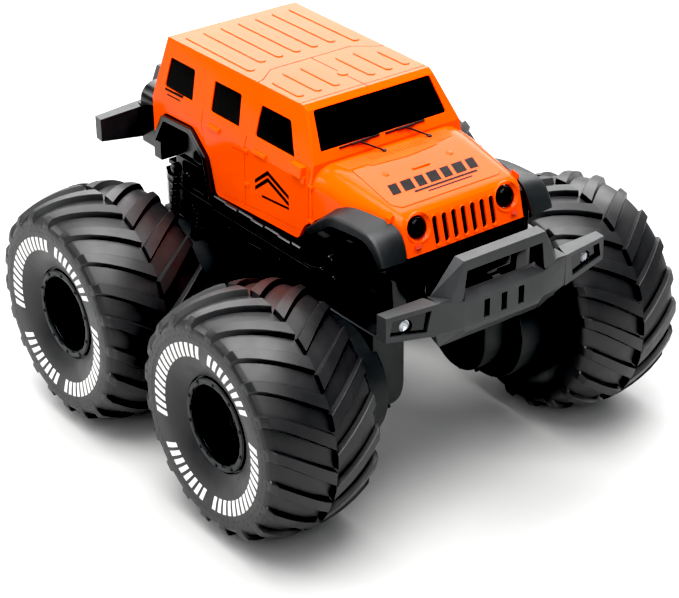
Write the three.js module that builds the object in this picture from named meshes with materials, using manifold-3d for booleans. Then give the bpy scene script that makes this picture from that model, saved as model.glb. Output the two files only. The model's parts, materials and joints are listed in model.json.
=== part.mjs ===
// A four-wheel amphibious remote control car: a boxy off-road body on a sealed
// hull, with a motor pod hung under the hull at each of four balloon wheels.
// Millimetres. The nose points along -Y, the car's right side is -X, +Z is up,
// and the origin is on the ground under the middle of the overall length.
import * as THREE from 'three';
import { ConvexGeometry } from 'three/addons/geometries/ConvexGeometry.js';
import { mergeVertices } from 'three/addons/utils/BufferGeometryUtils.js';
import Module from 'manifold-3d';

const wasm = await Module();
wasm.setup();

// ---------------------------------------------------------------- driving sizes
const tyreRadius = 60;
const wheelbase = 133;
const crownAt = 93.25;          // half the track: middle of the tread
const tyreHalfWidth = 29;       // tread middle to shoulder
const bodyHalfWidth = 45.4;
const bodyBottom = 116;
const roofTop = 183.4;
const bumperReach = 128.2;      // nose of the front bumper, from mid wheelbase
const gap = 0.3;                // between pieces that touch
const wall = 2;                 // moulded wall of the body and the hull
const through = 60;             // half width of a cut that goes right through the car

const axleHeight = tyreRadius;
const tyreReach = wheelbase / 2 + tyreRadius;
const midShift = (bumperReach - tyreReach) / 2;  // mid wheelbase is this far behind the origin

const podInner = 24.8;          // inboard face of a motor pod
const podStep = 41;             // where the pod widens into the gear case
const podOuter = 57.2;
const podRadius = 21;
const gearCaseRadius = 30;
const podTop = 90.7;
const podWall = 1.6;

const teethGear = 24;
const teethPinion = 8;
const gearModule = 1;
const gearCentres = (teethGear + teethPinion) * gearModule / 2 + 0.2;
const gearFrom = 52.8;
const gearWidth = 4;
const axleRadius = 2;
const boreRadius = axleRadius + 0.4;

const hullTop = 106;
const hullBottom = podTop + gap;
const bellyBottom = 84;
const sealHeight = 1;
const deckTop = 110;
const frameBottom = deckTop + gap;

// ---------------------------------------------------------------- solids
function solidOf(geometry) {
  const bare = geometry.clone();
  bare.deleteAttribute('normal');
  bare.deleteAttribute('uv');
  const welded = mergeVertices(bare, 1e-4);
  return new wasm.Manifold(new wasm.Mesh({
    numProp: 3,
    vertProperties: new Float32Array(welded.attributes.position.array),
    triVerts: new Uint32Array(welded.index.array),
  }));
}

function geometryOf(solid) {
  const mesh = solid.getMesh();
  const geometry = new THREE.BufferGeometry();
  geometry.setAttribute('position', new THREE.BufferAttribute(mesh.vertProperties, mesh.numProp));
  geometry.setIndex(new THREE.BufferAttribute(mesh.triVerts, 1));
  return geometry;
}

function joined(...solids) {
  return solids.reduce((sum, solid) => sum.add(solid));
}

function cut(solid, ...tools) {
  return tools.reduce((rest, tool) => rest.subtract(tool), solid);
}

function block([x0, x1], [y0, y1], [z0, z1]) {
  const geometry = new THREE.BoxGeometry(x1 - x0, y1 - y0, z1 - z0);
  geometry.translate((x0 + x1) / 2, (y0 + y1) / 2, (z0 + z1) / 2);
  return solidOf(geometry);
}

function hullOf(points) {
  return solidOf(new ConvexGeometry(points.map(([x, y, z]) => new THREE.Vector3(x, y, z))));
}

function bothSides(points) {
  return points.concat(points.map(([x, y, z]) => [-x, y, z]));
}

function onBothSides(makeSolid) {
  return joined(makeSolid(1), makeSolid(-1));
}

// The same stretch of X on either side of the middle, lower value first.
function spanOn(side, from, to) {
  return side > 0 ? [from, to] : [-to, -from];
}

function onSide(side, points) {
  return points.map(([x, y, z]) => [side * x, y, z]);
}

// An outline in (y, z), swept along X.
function sweptX(outline, x0, x1) {
  const shape = new THREE.Shape(outline.map(([y, z]) => new THREE.Vector2(y, z)));
  const geometry = new THREE.ExtrudeGeometry(shape, { depth: x1 - x0, bevelEnabled: false });
  const turn = new THREE.Matrix4().makeBasis(
    new THREE.Vector3(0, 1, 0), new THREE.Vector3(0, 0, 1), new THREE.Vector3(1, 0, 0));
  geometry.applyMatrix4(turn);
  geometry.translate(x0, 0, 0);
  return solidOf(geometry);
}

// An outline in (x, y), swept up Z.
function sweptZ(outline, z0, z1) {
  const shape = new THREE.Shape(outline.map(([x, y]) => new THREE.Vector2(x, y)));
  const geometry = new THREE.ExtrudeGeometry(shape, { depth: z1 - z0, bevelEnabled: false });
  geometry.translate(0, 0, z0);
  return solidOf(geometry);
}

// An outline in (x, z), swept along Y.
function sweptY(outline, y0, y1) {
  const shape = new THREE.Shape(outline.map(([x, z]) => new THREE.Vector2(x, z)));
  const geometry = new THREE.ExtrudeGeometry(shape, { depth: y1 - y0, bevelEnabled: false });
  geometry.rotateX(Math.PI / 2);
  geometry.translate(0, y1, 0);
  return solidOf(geometry);
}

// A closed outline in (x, radius), turned about an X axis at the given height.
function turnedX(outline, segments, height = 0) {
  const closed = [...outline, outline[0]];
  const profile = closed.map(([x, radius]) => new THREE.Vector2(radius, x));
  const geometry = new THREE.LatheGeometry(profile, segments);
  geometry.rotateZ(-Math.PI / 2);
  geometry.translate(0, 0, height);
  return solidOf(geometry);
}

function rodX(radius, x0, x1, height, segments = 24) {
  const geometry = new THREE.CylinderGeometry(radius, radius, x1 - x0, segments);
  geometry.rotateZ(-Math.PI / 2);
  geometry.translate((x0 + x1) / 2, 0, height);
  return solidOf(geometry);
}

function rodY(radius, y0, y1, x, z, segments = 20) {
  const geometry = new THREE.CylinderGeometry(radius, radius, y1 - y0, segments);
  geometry.translate(x, (y0 + y1) / 2, z);
  return solidOf(geometry);
}

function roundedOutline(halfWidth, bottom, top, radius, steps = 5) {
  const points = [[halfWidth, bottom]];
  for (let i = 0; i <= steps; i += 1) {
    const angle = (i / steps) * Math.PI / 2;
    points.push([
      halfWidth - radius + radius * Math.cos(angle),
      top - radius + radius * Math.sin(angle),
    ]);
  }
  const mirrored = points.map(([x, z]) => [-x, z]).reverse();
  return points.concat(mirrored);
}

// ---------------------------------------------------------------- the group
const car = new THREE.Group();
const chassis = new THREE.Group();
chassis.position.y = midShift;
car.add(chassis);

const finishes = {
  orange: { color: 0xf26a12, roughness: 0.25, metalness: 0 },
  glossBlack: { color: 0x0b0b0d, roughness: 0.12, metalness: 0 },
  satinBlack: { color: 0x1b1c1e, roughness: 0.45, metalness: 0 },
  bumperGrey: { color: 0x3a3b3e, roughness: 0.5, metalness: 0 },
  rubber: { color: 0x18181a, roughness: 0.75, metalness: 0 },
  lens: { color: 0xe8eef2, roughness: 0.08, metalness: 0 },
  steel: { color: 0xb4b6ba, roughness: 0.35, metalness: 1 },
  nylon: { color: 0xe6e2d4, roughness: 0.5, metalness: 0 },
  board: { color: 0x1d5a35, roughness: 0.5, metalness: 0 },
  wrap: { color: 0x2457a6, roughness: 0.4, metalness: 0 },
};

function addPiece(name, solid, finish, parent = chassis) {
  const mesh = new THREE.Mesh(geometryOf(solid), new THREE.MeshStandardMaterial(finishes[finish]));
  mesh.name = name;
  parent.add(mesh);
  return mesh;
}

// ---------------------------------------------------------------- body shell
// The cabin and the bonnet are each the hull of a few corners. Inset draws the
// same corners in by a wall, for the hollow inside.
const openBelow = 5;            // the hollow runs out through the bottom
const hollowsMeet = 4;          // and the bonnet's hollow runs into the cabin's

function cabinCorners(inset) {
  const floor = inset > 0 ? bodyBottom - openBelow : bodyBottom;
  return bothSides([
    [38.8 - inset, 83.2 - inset, roofTop - inset],
    [37.3 - inset, -27.8 + inset, roofTop - inset],
    [37 - inset, -31.3 + inset, 181.2 - inset],
    [41.5 - inset, -41.1 + inset, 163.9],
    [43.5 - inset, -43 + inset, 160.6],
    [43.5 - inset, 88 - inset, 160.6],
    [bodyHalfWidth - inset, -43 + inset, 150],
    [bodyHalfWidth - inset, 90.4 - inset, 150],
    [bodyHalfWidth - inset, -43 + inset, floor],
    [bodyHalfWidth - inset, 90.4 - inset, floor],
  ]);
}

function bonnetCorners(inset) {
  const floor = inset > 0 ? bodyBottom - openBelow : bodyBottom;
  const back = inset > 0 ? hollowsMeet : 0;
  return bothSides([
    [39.5 - inset, -40 + back, 162 - inset],
    [43.5 - inset, -42 + back, 157 - inset],
    [33.8 - inset, -96.8 + inset, 150.2 - inset],
    [33.3 - inset, -100.9 + inset, 134.8],
    [33.3 - inset, -100.9 + inset, floor],
    [44.6 - inset, -42 + back, floor],
    [44.6 - inset, -62, floor],
    [44 - inset, -64, 148],
  ]);
}

const bodySideOutline = [
  [98, 131.7], [88, 131.7], [80, 145], [54, 146], [40.5, 134.4], [35.4, bodyBottom],
  [-33, 119], [-38, 127.7], [-65.5, 147], [-92, 147], [-97, 134.8], [-106, 134.8],
  [-106, 200], [98, 200],
];

const sideWindows = [
  [[56, 158.5], [80.5, 158.5], [78.5, 174], [57, 174]],
  [[16, 158.5], [40, 158.5], [40, 174], [17.5, 174]],
  [[-29, 158.5], [2.5, 158.5], [1.5, 174], [-21.5, 174]],
];

const windscreen = {
  foot: { y: -41.1, z: 163.9, halfWidth: 34.5, frame: 1.5 },
  head: { y: -31.3, z: 181.2, halfWidth: 31.5, frame: 2.5 },
};
const rearWindow = [[-29, 158.5], [29, 158.5], [27, 174], [-27, 174]];
const grille = { slots: 7, pitch: 5.1, slotWidth: 2.6, bottom: 137.2, top: 148.2 };
const lamp = { x: 26, z: 144.5, radius: 6, rimRadius: 4.4, front: -99.6, back: -95.6, domeFront: -101 };
const noseCut = [-104, -94];    // how deep the holes in the nose panel are cut

function grilleCuts() {
  const cuts = [];
  for (let i = 0; i < grille.slots; i += 1) {
    const x = (i - (grille.slots - 1) / 2) * grille.pitch;
    const half = grille.slotWidth / 2;
    cuts.push(block([x - half, x + half], noseCut, [grille.bottom, grille.top]));
  }
  return cuts;
}

// The glass opening, as a slab across the sloping front of the cabin.
function windscreenCut() {
  const { foot, head } = windscreen;
  const reach = 6;
  return hullOf(bothSides([-reach, reach].flatMap((y) => [
    [head.halfWidth, head.y + y, head.z - head.frame],
    [foot.halfWidth, foot.y + y, foot.z + foot.frame],
  ])));
}

function makeBodyShell() {
  const outer = joined(hullOf(cabinCorners(0)), hullOf(bonnetCorners(0)));
  const inner = joined(hullOf(cabinCorners(wall)), hullOf(bonnetCorners(wall)));
  const skin = cut(outer, inner).intersect(sweptX(bodySideOutline, -through, through));
  const windows = sideWindows.map((outline) => sweptX(outline, -through, through));
  const backlight = sweptY(rearWindow, 80, 95);
  const lampHoles = [lamp.x, -lamp.x].map((x) => rodY(lamp.radius + gap, ...noseCut, x, lamp.z));
  return cut(skin, ...windows, windscreenCut(), backlight, ...grilleCuts(), ...lampHoles);
}

// One black moulding stands behind all the cabin's window openings.
function makeWindowInsert() {
  const thick = 1.4;
  const bottom = 153;
  const skin = cut(hullOf(cabinCorners(wall + gap)), hullOf(cabinCorners(wall + gap + thick)));
  return cut(skin, block([-through, through], [-60, 100], [bodyBottom - 20, bottom]));
}

const noseTop = [-96.8, 150.2];
const noseFoot = [-100.9, 134.8];

// How far forward the sloping nose panel stands at a height.
function noseAtHeight(z) {
  return noseTop[0] + (noseFoot[0] - noseTop[0]) * (noseTop[1] - z) / (noseTop[1] - noseFoot[1]);
}

function makeGrilleInsert() {
  const low = 136;
  const high = 147;
  const behind = wall + 2 * gap;
  const thick = 1.2;
  return hullOf(bothSides([
    [18, noseAtHeight(low) + behind, low], [18, noseAtHeight(high) + behind, high],
    [18, noseAtHeight(low) + behind + thick, low], [18, noseAtHeight(high) + behind + thick, high],
  ]));
}

function makeHeadlight(side) {
  const stem = rodY(lamp.radius, lamp.front, lamp.back, side * lamp.x, lamp.z);
  const dome = rodY(lamp.rimRadius, lamp.domeFront, lamp.front + 0.6, side * lamp.x, lamp.z);
  return joined(stem, dome);
}

function addWiper(name, side) {
  const { foot, head } = windscreen;
  const blade = block([-11, 11], [0, 1.2], [-1.8, -0.4]);
  const mesh = addPiece(name, blade, 'satinBlack');
  mesh.rotation.x = Math.atan2(head.z - foot.z, head.y - foot.y);
  mesh.position.set(side * 14, foot.y + 1.2, foot.z + 3);
}

addPiece('body_shell', makeBodyShell(), 'orange');
addPiece('window_insert', makeWindowInsert(), 'glossBlack');
addPiece('grille_insert', makeGrilleInsert(), 'glossBlack');
addPiece('headlight_right', makeHeadlight(-1), 'glossBlack');
addPiece('headlight_left', makeHeadlight(1), 'glossBlack');

// ---------------------------------------------------------------- base frame
// The black moulding under the body: floor, sills, wheel-arch walls, the wide
// front mudguards, the slim rear arches and the panel below the grille.
const frameHalfWidth = 37;
const frameFloor = 2.5;
const wheelArch = { front: -36, rear: 36.5 };    // the sill runs between the arches

function mudguard(side) {
  const outline = [
    [-66, 147.6], [-72, 149.4], [-98, 148], [-103.5, 141], [-105.5, 130],
    [-102, 130], [-99, 139], [-95, 144], [-72, 145.6], [-63, 143], [-42, 126], [-40, 128.5],
  ];
  const band = sweptX(outline, ...spanOn(side, 0, 51));
  const taper = hullOf([
    [20, -110, 110], [20, -35, 110], [51, -104.5, 110], [51, -60, 110], [46.5, -40, 110], [20, -40, 110],
    [20, -110, 149.5], [20, -35, 149.5], [41, -35, 149.5], [44, -64, 149.5], [34, -105, 148.5],
    [51, -64, 143.5], [51, -94, 145.3], [51, -100.9, 139.5], [51, -104.6, 134.4], [46.5, -40, 140],
  ].map(([x, y, z]) => [side * x, y, z]));
  const aboveNose = block([-through, through], [-110, -30], [134.8 - gap, 200]);
  const bonnet = hullOf(bonnetCorners(-gap)).intersect(aboveNose);
  const inboard = block(spanOn(side, -1, frameHalfWidth - 3), [-120, 0], [100, 200]);
  return cut(band.intersect(taper), bonnet, inboard);
}

function rearArch(side) {
  const outline = [
    [36, 112], [40.9, 134.1], [54.1, 145.5], [79.7, 144.3], [87.4, 131.3], [90, 127.5],
    [86.5, 127.5], [78, 141.5], [55.2, 142.4], [44, 132.6], [39.3, 112],
  ];
  return sweptX(outline, ...spanOn(side, frameHalfWidth - 1, 47.8));
}

function makeBaseFrame() {
  const half = frameHalfWidth;
  const { front, rear } = wheelArch;
  const floor = block([-half, half], [-99, 92], [frameBottom, frameBottom + frameFloor]);
  const sill = onBothSides((side) => block(
    spanOn(side, half - 1, 46.6), [front, rear], [frameBottom, bodyBottom - 2 * gap]));
  const archWall = onBothSides((side) => joined(
    block(spanOn(side, half - wall, half), [rear - 0.5, 84.5], [frameBottom, 143]),
    block(spanOn(side, half - wall, half), [-98, front], [frameBottom, 134])));
  const noseWall = block([-half, half], [-99.5, -97.5], [frameBottom, 134.2]);
  const tailBlock = onBothSides((side) => block(spanOn(side, half - 4, 46), [84, 91], [117, 127.5]));
  const arches = joined(onBothSides(rearArch), onBothSides(mudguard));
  return joined(floor, sill, archWall, noseWall, tailBlock, arches);
}

addPiece('base_frame', makeBaseFrame(), 'satinBlack');

// ---------------------------------------------------------------- bumpers
// One faceted moulding serves at both ends. Front faces -Y.
const lensAt = { x: 53.5, y: -121.3, z: 114.1, radius: 3.2 };

function makeBumper() {
  const wings = onBothSides((side) => hullOf(onSide(side, [
    [64.7, -123.9, 122], [37.5, -127.5, 122], [65.2, -117.9, 122], [40.3, -119.2, 122.4],
    [64.7, -123.9, 109.8], [65.2, -117.9, 109.8], [38.5, -126.6, 105.5], [38.5, -118.6, 105.5],
  ])));
  const knees = onBothSides((side) => hullOf(onSide(side, [
    [38, -127.4, 122], [32.4, -127.3, 122.2], [23.5, -128.2, 118.1], [23.4, -128, 105.4],
    [29.7, -118, 92.9], [38, -119.2, 122.2], [38.6, -126.4, 106], [38.6, -118.6, 105.5], [20, -119, 118],
  ])));
  const plate = hullOf(bothSides([
    [23.6, -bumperReach, 118.1], [20.2, -124.2, 120.6], [23.5, -128, 105.4], [22, -127, 102],
    [29, -118, 93.1], [24, -118, 118],
  ]));
  const legs = onBothSides((side) => hullOf(onSide(side, [
    [32.4, -127.3, 122.2], [24, -127.6, 138.6], [22.2, -128, 133.5], [27.2, -127.8, 120.5],
    [32, -120.6, 122.2], [24.2, -121.4, 138.9], [22, -121.5, 133.5], [26.5, -120.8, 120.5],
    [29, -127, 112], [31, -121, 112], [27, -121, 112],
  ])));
  const hoop = hullOf(bothSides([
    [24, -127.6, 138.6], [24.2, -121.4, 138.9], [22.2, -128, 133.5], [22, -121.5, 133.5],
  ]));
  const slotPitch = 8.4;
  const slotHalf = 1.5;
  const slots = [-1, 0, 1].map((step) => block(
    [step * slotPitch - slotHalf, step * slotPitch + slotHalf], [-130, -125], [106.5, 115.5]));
  const lensPockets = [1, -1].map((side) => hullOf(onSide(side, [
    [41.5, -130, 119.6], [61.5, -130, 119.6], [62.8, -130, 112.5], [43.5, -130, 109],
    [41.5, -124.6, 119.6], [61.5, -122, 119.6], [62.8, -122, 112.5], [43.5, -124.4, 109],
  ])));
  const lensHoles = [1, -1].map((side) => rodY(
    lensAt.radius + gap, -126, -119, side * lensAt.x, lensAt.z, 16));
  const solid = joined(wings, knees, plate, legs, hoop);
  return cut(solid, ...slots, ...lensPockets, ...lensHoles);
}

// Two arms carry the front bumper on the hull's nose.
function bumperArms() {
  return onBothSides((side) => block(spanOn(side, 11, 19), [-119.5, noseAt - gap], [97, 105]));
}

const rearBumperUp = 14;
const rearBumperReach = 120.2;
const noseAt = -99.2;             // front face of the hull
const tailBoxFront = 91.6;
const tailBoxRear = 109.9;        // touches the rear bumper's back

function makeFrontBumper() {
  return joined(makeBumper(), bumperArms());
}

function addRearBumper() {
  const mesh = addPiece('rear_bumper', makeBumper(), 'bumperGrey');
  mesh.rotation.z = Math.PI;
  mesh.position.set(0, rearBumperReach - bumperReach, rearBumperUp);
}

function makeBumperLens(side) {
  return rodY(lensAt.radius, -124.2, -119.4, side * lensAt.x, lensAt.z, 16);
}

// The box on the tail is open towards the body.
const tailBox = { halfWidth: 41.3, bottom: 118, top: 150, corner: 9.3 };

function tailBoxSection(inset) {
  const { halfWidth, bottom, top, corner } = tailBox;
  return roundedOutline(halfWidth - inset, bottom + inset, top - inset, corner - inset / 2);
}

function makeTailBox() {
  const outer = sweptY(tailBoxSection(0), tailBoxFront, tailBoxRear - gap);
  const inner = sweptY(tailBoxSection(wall), tailBoxFront - 1, tailBoxRear - wall);
  return cut(outer, inner);
}

addPiece('front_bumper', makeFrontBumper(), 'bumperGrey');
addPiece('bumper_lens_right', makeBumperLens(-1), 'lens');
addPiece('bumper_lens_left', makeBumperLens(1), 'lens');
addRearBumper();
addPiece('tail_box', makeTailBox(), 'glossBlack');
addWiper('wiper_right', -1);
addWiper('wiper_left', 1);

// ---------------------------------------------------------------- hull
// A tray with a deeper belly between the wheels, a deck over it, and a gasket.
const hullOutline = [
  [40, 90], [44, 82], [44, -40], [36, -56], [36, -88], [27, -99],
  [-27, -99], [-36, -88], [-36, -56], [-44, -40], [-44, 82], [-40, 90],
];

function drawnIn(outline, inset) {
  return outline.map(([x, y]) => [x - Math.sign(x) * inset, y - Math.sign(y) * inset]);
}

const belly = { x: 40, y: 40 };
const door = { x: 26, y: 34, thick: 2 };
const switchSlot = { x: 33, y: 10, length: 11, width: 5 };

const bellyCut = [bellyBottom - 4, bellyBottom + wall + 1];

// An upright box around a middle, given by its half sizes in plan.
function boxAround(x, y, halfX, halfY, height) {
  return block([x - halfX, x + halfX], [y - halfY, y + halfY], height);
}

function makeHullLower() {
  const outer = joined(
    sweptZ(hullOutline, hullBottom, hullTop),
    boxAround(0, 0, belly.x, belly.y, [bellyBottom, hullBottom + 1]));
  const inner = joined(
    sweptZ(drawnIn(hullOutline, wall), hullBottom + wall, hullTop + 1),
    boxAround(0, 0, belly.x - wall, belly.y - wall, [bellyBottom + wall, hullBottom + wall + 1]));
  const doorHole = boxAround(0, 0, door.x + gap, door.y + gap, bellyCut);
  const slot = boxAround(
    switchSlot.x, switchSlot.y, switchSlot.width / 2, switchSlot.length / 2, bellyCut);
  return cut(outer, inner, doorHole, slot);
}

function makeRing(z0, z1, width) {
  return cut(sweptZ(hullOutline, z0, z1), sweptZ(drawnIn(hullOutline, width), z0 - 1, z1 + 1));
}

// The deck has a hatch in the middle for the wires to the lamps.
function makeHullDeck() {
  const from = hullTop + 2 * gap + sealHeight;
  const plate = sweptZ(hullOutline, from, deckTop);
  return cut(plate, boxAround(0, 0, 14, 10, [from - 1, deckTop + 1]));
}

function makeBatteryDoor() {
  return boxAround(0, 0, door.x, door.y, [bellyBottom, bellyBottom + door.thick]);
}

function makeBatteryPack() {
  return boxAround(0, 0, 24, 32, [bellyBottom + door.thick + gap, bellyBottom + 18]);
}

function makeCircuitBoard() {
  return boxAround(0, 64, 30, 20, [hullBottom + 5, hullBottom + 6.6]);
}

addPiece('hull_lower', makeHullLower(), 'glossBlack');
addPiece('hull_seal', makeRing(hullTop + gap, hullTop + gap + sealHeight, wall), 'rubber');
addPiece('hull_deck', makeHullDeck(), 'glossBlack');
addPiece('battery_door', makeBatteryDoor(), 'satinBlack');
addPiece('battery_pack', makeBatteryPack(), 'wrap');
addPiece('circuit_board', makeCircuitBoard(), 'board');

// ---------------------------------------------------------------- power switch
const switchTravel = 4;

function makeSwitchKnob() {
  const clear = 0.5;
  const halfX = switchSlot.width / 2 - clear;
  const from = switchSlot.y - switchSlot.length / 2 + clear;
  const to = switchSlot.y + switchSlot.length / 2 - switchTravel - clear;
  const height = [bellyBottom - 1.6, bellyBottom + wall + 0.8];
  return boxAround(switchSlot.x, (from + to) / 2, halfX, (to - from) / 2, height);
}

addPiece('power_switch', makeSwitchKnob(), 'nylon');

// ---------------------------------------------------------------- wheel stations
// Each station is drawn with its outboard side towards +X and its axle over the
// station's own origin. The right-hand ones are turned half round.
function uOutline(radius, top) {
  const steps = 14;
  const points = [];
  for (let i = 0; i <= steps; i += 1) {
    const angle = Math.PI + (i / steps) * Math.PI;
    points.push([radius * Math.cos(angle), axleHeight + radius * Math.sin(angle)]);
  }
  points.push([radius, top], [-radius, top]);
  return points;
}

function makePodHousing() {
  const outer = joined(
    sweptX(uOutline(podRadius, podTop), podInner, podStep + 1),
    rodX(gearCaseRadius, podStep, podOuter, axleHeight));
  const inner = joined(
    sweptX(uOutline(podRadius - podWall, podTop - podWall), podInner + podWall, podStep + podWall + 1),
    rodX(gearCaseRadius - podWall, podStep + podWall, podOuter + 1, axleHeight));
  return cut(outer, inner);
}

function makePodCover() {
  const disc = rodX(gearCaseRadius, podOuter + gap, podOuter + gap + 2.3, axleHeight);
  return cut(disc, rodX(boreRadius, podOuter - 2, podOuter + 6, axleHeight, 16));
}

const motor = { from: 27.5, to: 51.2, halfWidth: 10, halfHeight: 7.5 };

function makeMotor() {
  const { halfWidth: w, halfHeight: h } = motor;
  const z = axleHeight + gearCentres;
  const outline = [
    [w, -h / 2], [w, h / 2], [w / 2, h], [-w / 2, h],
    [-w, h / 2], [-w, -h / 2], [-w / 2, -h], [w / 2, -h],
  ].map(([y, dz]) => [y, z + dz]);
  return sweptX(outline, motor.from, motor.to);
}

// Straight-sided teeth, thin enough to leave backlash.
function gearOutline(teeth, turn) {
  const pitchRadius = teeth * gearModule / 2;
  const tip = pitchRadius + 0.9 * gearModule;
  const root = pitchRadius - 1.25 * gearModule;
  const tipHalf = 0.3 * gearModule;
  const rootHalf = 0.95 * gearModule;
  const points = [];
  for (let i = 0; i < teeth; i += 1) {
    const angle = turn + (i / teeth) * 2 * Math.PI;
    for (const [radius, offset] of [[root, -rootHalf], [tip, -tipHalf], [tip, tipHalf], [root, rootHalf]]) {
      points.push([
        radius * Math.cos(angle) - offset * Math.sin(angle),
        radius * Math.sin(angle) + offset * Math.cos(angle),
      ]);
    }
  }
  return points;
}

function gearX(teeth, turn, height, x0, x1) {
  return sweptX(gearOutline(teeth, turn).map(([y, z]) => [y, z + height]), x0, x1);
}

function makeDriveGear() {
  const wheel = gearX(teethGear, 0, axleHeight, gearFrom, gearFrom + gearWidth);
  return joined(wheel, rodX(axleRadius, podInner + 4, 104, axleHeight, 12));
}

function makePinion() {
  const height = axleHeight + gearCentres;
  return gearX(teethPinion, Math.PI / teethPinion, height, gearFrom - 1, gearFrom + gearWidth - 0.2);
}

function makeRim() {
  return turnedX([
    [116.5, 23.6], [116.5, 19.5], [100, 17.5], [99, 7], [103, 5.5], [103, boreRadius],
    [92, boreRadius], [92, 5.5], [96, 9], [96, 20], [68, 27], [68, 31], [70.5, 31],
    [71, 28], [95, 22],
  ], 20, axleHeight);
}

function makeTyre() {
  const mid = crownAt;
  const half = tyreHalfWidth;
  return turnedX([
    [mid - half, 53.4], [mid - 20, 58.4], [mid, tyreRadius], [mid + 20, 58.4], [mid + half, 53.4],
    [123.6, 46], [122.6, 35], [117.4, 24], [113, 24], [119, 42], [mid + 20, 53], [mid - 20, 53],
    [67, 42], [77, 28.4], [71.2, 28.4], [71, 31.6], [62.8, 42],
  ], 32, axleHeight);
}

function makeBeadRing() {
  const from = 116.5 + gap;
  return turnedX([[from + 1.8, 22.8], [from + 1.8, 19.9], [from, 19.6], [from, 23.1]], 20, axleHeight);
}

function makeWheelNut() {
  const hex = rodX(4.2, 103 + gap, 106.5, axleHeight, 6);
  return cut(hex, rodX(boreRadius, 102, 105, axleHeight, 12));
}

const stationPieces = [
  ['pod_housing', makePodHousing(), 'satinBlack'],
  ['pod_cover', makePodCover(), 'satinBlack'],
  ['motor', makeMotor(), 'steel'],
  ['pinion', makePinion(), 'nylon'],
  ['drive_gear', makeDriveGear(), 'nylon'],
  ['rim', makeRim(), 'satinBlack'],
  ['tyre', makeTyre(), 'rubber'],
  ['bead_ring', makeBeadRing(), 'satinBlack'],
  ['wheel_nut', makeWheelNut(), 'steel'],
];

for (const [end, y] of [['front', -wheelbase / 2], ['rear', wheelbase / 2]]) {
  for (const [side, turn] of [['right', Math.PI], ['left', 0]]) {
    const station = new THREE.Group();
    station.position.y = y;
    station.rotation.z = turn;
    chassis.add(station);
    for (const [piece, solid, finish] of stationPieces) {
      addPiece(`${piece}_${end}_${side}`, solid, finish, station);
    }
  }
}

export default car;
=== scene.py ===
import json
import math

import bmesh
import bpy
from mathutils import Matrix, Vector

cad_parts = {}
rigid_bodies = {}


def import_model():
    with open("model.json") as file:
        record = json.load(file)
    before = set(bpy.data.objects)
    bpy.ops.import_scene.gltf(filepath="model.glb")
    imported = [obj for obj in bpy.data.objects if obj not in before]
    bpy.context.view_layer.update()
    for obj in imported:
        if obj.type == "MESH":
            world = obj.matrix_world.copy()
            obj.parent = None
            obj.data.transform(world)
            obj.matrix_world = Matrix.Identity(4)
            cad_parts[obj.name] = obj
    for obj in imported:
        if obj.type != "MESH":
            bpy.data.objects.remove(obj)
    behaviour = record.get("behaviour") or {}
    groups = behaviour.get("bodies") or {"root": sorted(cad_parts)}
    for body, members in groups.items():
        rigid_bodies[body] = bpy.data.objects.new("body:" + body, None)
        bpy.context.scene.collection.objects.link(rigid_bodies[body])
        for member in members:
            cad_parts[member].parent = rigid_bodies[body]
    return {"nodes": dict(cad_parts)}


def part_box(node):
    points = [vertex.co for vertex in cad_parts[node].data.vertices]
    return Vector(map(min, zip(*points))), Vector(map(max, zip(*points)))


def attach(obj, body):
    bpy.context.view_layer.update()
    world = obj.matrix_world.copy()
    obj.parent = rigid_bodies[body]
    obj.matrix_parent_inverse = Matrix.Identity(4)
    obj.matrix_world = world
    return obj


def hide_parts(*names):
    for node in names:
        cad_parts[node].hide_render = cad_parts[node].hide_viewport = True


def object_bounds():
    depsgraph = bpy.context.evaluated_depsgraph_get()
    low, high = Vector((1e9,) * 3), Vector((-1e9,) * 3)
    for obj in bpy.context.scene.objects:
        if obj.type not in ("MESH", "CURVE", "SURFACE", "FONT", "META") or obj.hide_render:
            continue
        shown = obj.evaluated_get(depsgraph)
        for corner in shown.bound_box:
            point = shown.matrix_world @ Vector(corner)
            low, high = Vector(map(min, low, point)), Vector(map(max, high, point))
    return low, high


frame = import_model()
cadLow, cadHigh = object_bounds()
scene = bpy.context.scene
print("frame loaded")

# Lengths below are millimetres, with y counted from the middle of the wheelbase.
# toCar turns them into the frame's metres.


def middle(node):
    low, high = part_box(node)
    return (low + high) * 500


frontAxle = middle("rim_front_left")
rearAxle = middle("rim_rear_left")
midY = (frontAxle.y + rearAxle.y) / 2
toCar = Matrix.Translation((0, midY / 1000, 0)) @ Matrix.Scale(0.001, 4)

axleHeight = frontAxle.z
carHeight = cadHigh.z * 1000


# Materials

def toLinear(hexColour):
    channels = [int(hexColour[i:i + 2], 16) / 255 for i in (1, 3, 5)]
    linear = [c / 12.92 if c <= 0.04045 else ((c + 0.055) / 1.055) ** 2.4 for c in channels]
    return (*linear, 1)


def addNode(tree, kind, settings=None, inputs=None, links=None):
    node = tree.nodes.new(kind)
    for key, value in (settings or {}).items():
        setattr(node, key, value)
    for key, value in (inputs or {}).items():
        node.inputs[key].default_value = value
    for key, (source, output) in (links or {}).items():
        tree.links.new(source.outputs[output], node.inputs[key])
    return node


def perMetre(millimetres):      # noise scale for a pattern whose features have this size
    return 1000 / millimetres


def newMaterial(name):
    material = bpy.data.materials.new(name)
    material.use_nodes = True
    tree = material.node_tree
    tree.nodes.clear()
    output = addNode(tree, "ShaderNodeOutputMaterial")
    place = addNode(tree, "ShaderNodeTexCoord")
    return material, tree, output, place


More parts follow.
